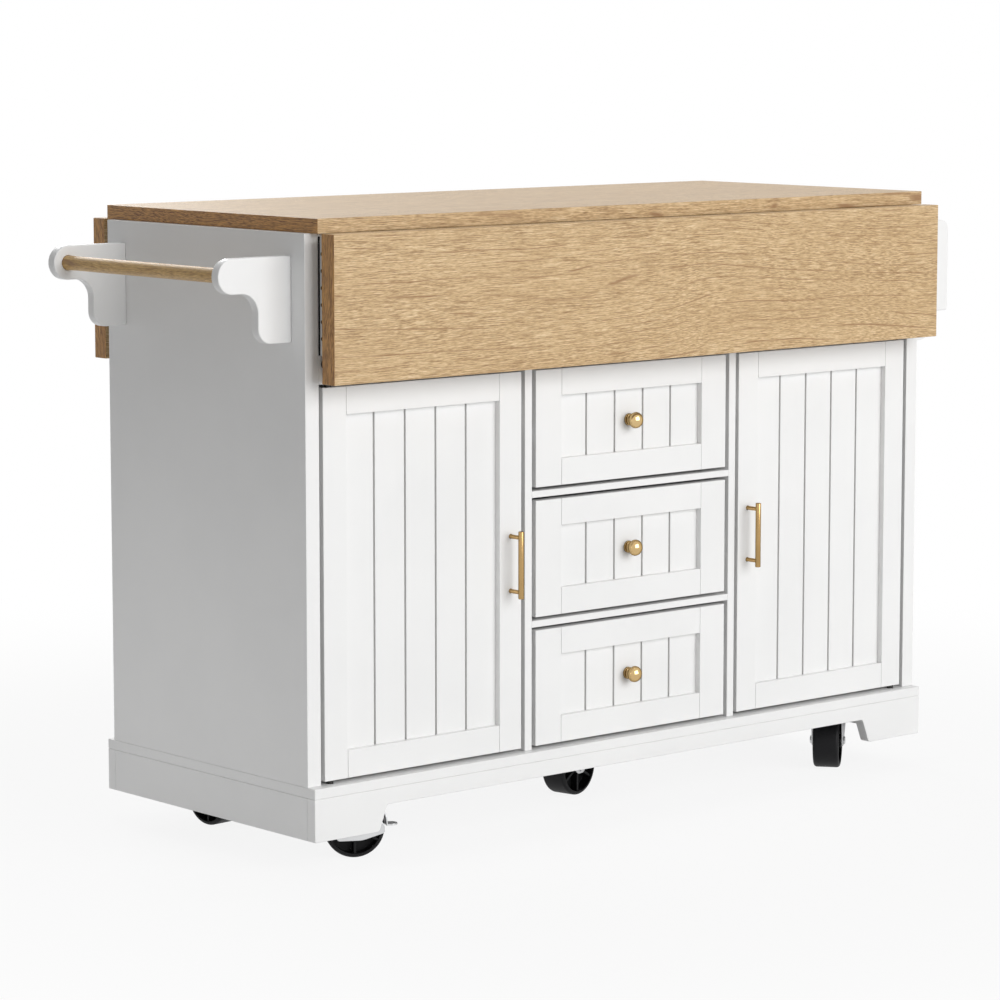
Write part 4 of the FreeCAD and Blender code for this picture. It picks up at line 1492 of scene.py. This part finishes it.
@dataclass
class Studio:
    """Floor, light and camera; angles are in degrees."""

    place: Point = (-3.8375, -4.3409, 1.2148)
    heading: float = 41.032
    pitch: float = 7.41
    lens: float = 135.1
    sensor: float = 36.0
    ambient: float = 0.26
    floor_white: float = 0.88
    floor_reach: float = 30.0
    floor_light: Colour = (0.78, 0.78, 0.78)
    floor_dark: Colour = (0.74, 0.74, 0.74)
    floor_clouds: float = 3.0
    white_range: Pair = (0.75, 2.2)
    lamps: tuple[SoftBox, ...] = (
        SoftBox("key", (1.7, -9.0, 3.4), (0.0, 0.0, 0.5), width=8.0, height=6.4, watts=690.0),
        SoftBox("top", (0.3, 0.6, 4.2), (0.0, 0.0, 0.6), width=3.0, height=3.0, watts=30.0),
        SoftBox("back", (1.2, 5.0, 3.2), (0.0, 0.0, 0.5), width=3.0, height=2.4, watts=100.0),
        SoftBox("low", (-2.0, 0.0, 0.64), (-0.7, 0.0, -0.05), width=1.2, height=0.3, watts=0.6,
                spread=70.0),
    )

    def camera(self) -> None:
        """Set the camera at the photograph's angle."""
        data = bpy.data.cameras.new("camera")
        data.sensor_width = self.sensor
        data.lens = self.lens
        camera = bpy.data.objects.new("camera", data)
        camera.location = self.place
        camera.rotation_euler = (math.radians(90.0 - self.pitch), 0.0, math.radians(-self.heading))
        bpy.context.scene.collection.objects.link(camera)
        bpy.context.scene.camera = camera

    @staticmethod
    def seen(board: ShaderBoard) -> Signal:
        """Share of white background in a ray: 1 if it is direct, mirrored or let through.

        Args:
            board: the floor's or the world's nodes.

        Returns:
            1 for those rays, 0 for the light that falls on the object.
        """
        path = board.node("ShaderNodeLightPath").outputs
        unseen = 1.0
        for name in ("Is Camera Ray", "Is Glossy Ray", "Is Transmission Ray"):
            unseen = unseen * (1 - Signal(board, path[name]))
        return 1 - unseen

    def world(self) -> None:
        """White surroundings to the eye, plain ambient light on the object."""
        world = bpy.data.worlds.new("studio")
        board = ShaderBoard(world)
        seen = self.seen(board)
        level = seen + (1 - seen) * self.ambient
        sky = board.node("ShaderNodeBackground", None, {"Color": PURE_WHITE, "Strength": level})
        board.node("ShaderNodeOutputWorld", None, {"Surface": sky.outputs[0]})
        bpy.context.scene.world = world

    def floor_material(self) -> bpy.types.Material:
        """Pale floor that keeps a faint shadow and runs out to white.

        Returns:
            The material.
        """
        board = ShaderBoard(bpy.data.materials.new("pale_floor"))
        x, y, z = board.split()
        clouds = Layer(self.floor_clouds, self.floor_clouds).on(board, (x, y, z))
        far = ((x * x + y * y) ** 0.5).between(*self.white_range)
        pale = board.mix(clouds, self.floor_light, self.floor_dark)
        matt = board.node("ShaderNodeBsdfPrincipled", None,
                          {"Base Color": pale, "Roughness": 1.0, "Specular IOR Level": 0.0})
        glow = board.node("ShaderNodeEmission", None, {"Color": PURE_WHITE, "Strength": 1.0})
        share = self.seen(board) * (self.floor_white + (1 - self.floor_white) * far)
        ends = {0: share, 1: matt.outputs[0], 2: glow.outputs[0]}
        both = board.node("ShaderNodeMixShader", None, ends)
        board.node("ShaderNodeOutputMaterial", None, {"Surface": both.outputs[0]})
        return board.owner

    def floor(self) -> None:
        """Lay the floor."""
        reach = self.floor_reach
        mesh = bpy.data.meshes.new("floor")
        corners = [(-reach, -reach, 0), (reach, -reach, 0), (reach, reach, 0), (-reach, reach, 0)]
        mesh.from_pydata(corners, [], [(0, 1, 2, 3)])
        mesh.materials.append(self.floor_material())
        floor = bpy.data.objects.new("floor", mesh)
        bpy.context.scene.collection.objects.link(floor)

    def build(self) -> None:
        """Set up the whole studio."""
        self.camera()
        self.world()
        self.floor()
        for lamp in self.lamps:
            lamp.light()
        bpy.context.scene.view_settings.view_transform = "Standard"


def main() -> None:
    """Build and dress every sub-assembly, then set up the studio."""
    logging.basicConfig(level=logging.INFO, format="%(name)s: %(message)s")
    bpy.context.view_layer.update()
    shop = Workshop(frame["nodes"], frame["record"])
    for part in (OakBoards, Carcass, Doors, Drawers, LeafGear, EndRacks, Casters):
        part(shop).build()
    Studio().build()


if __name__ == "__main__":
    main()
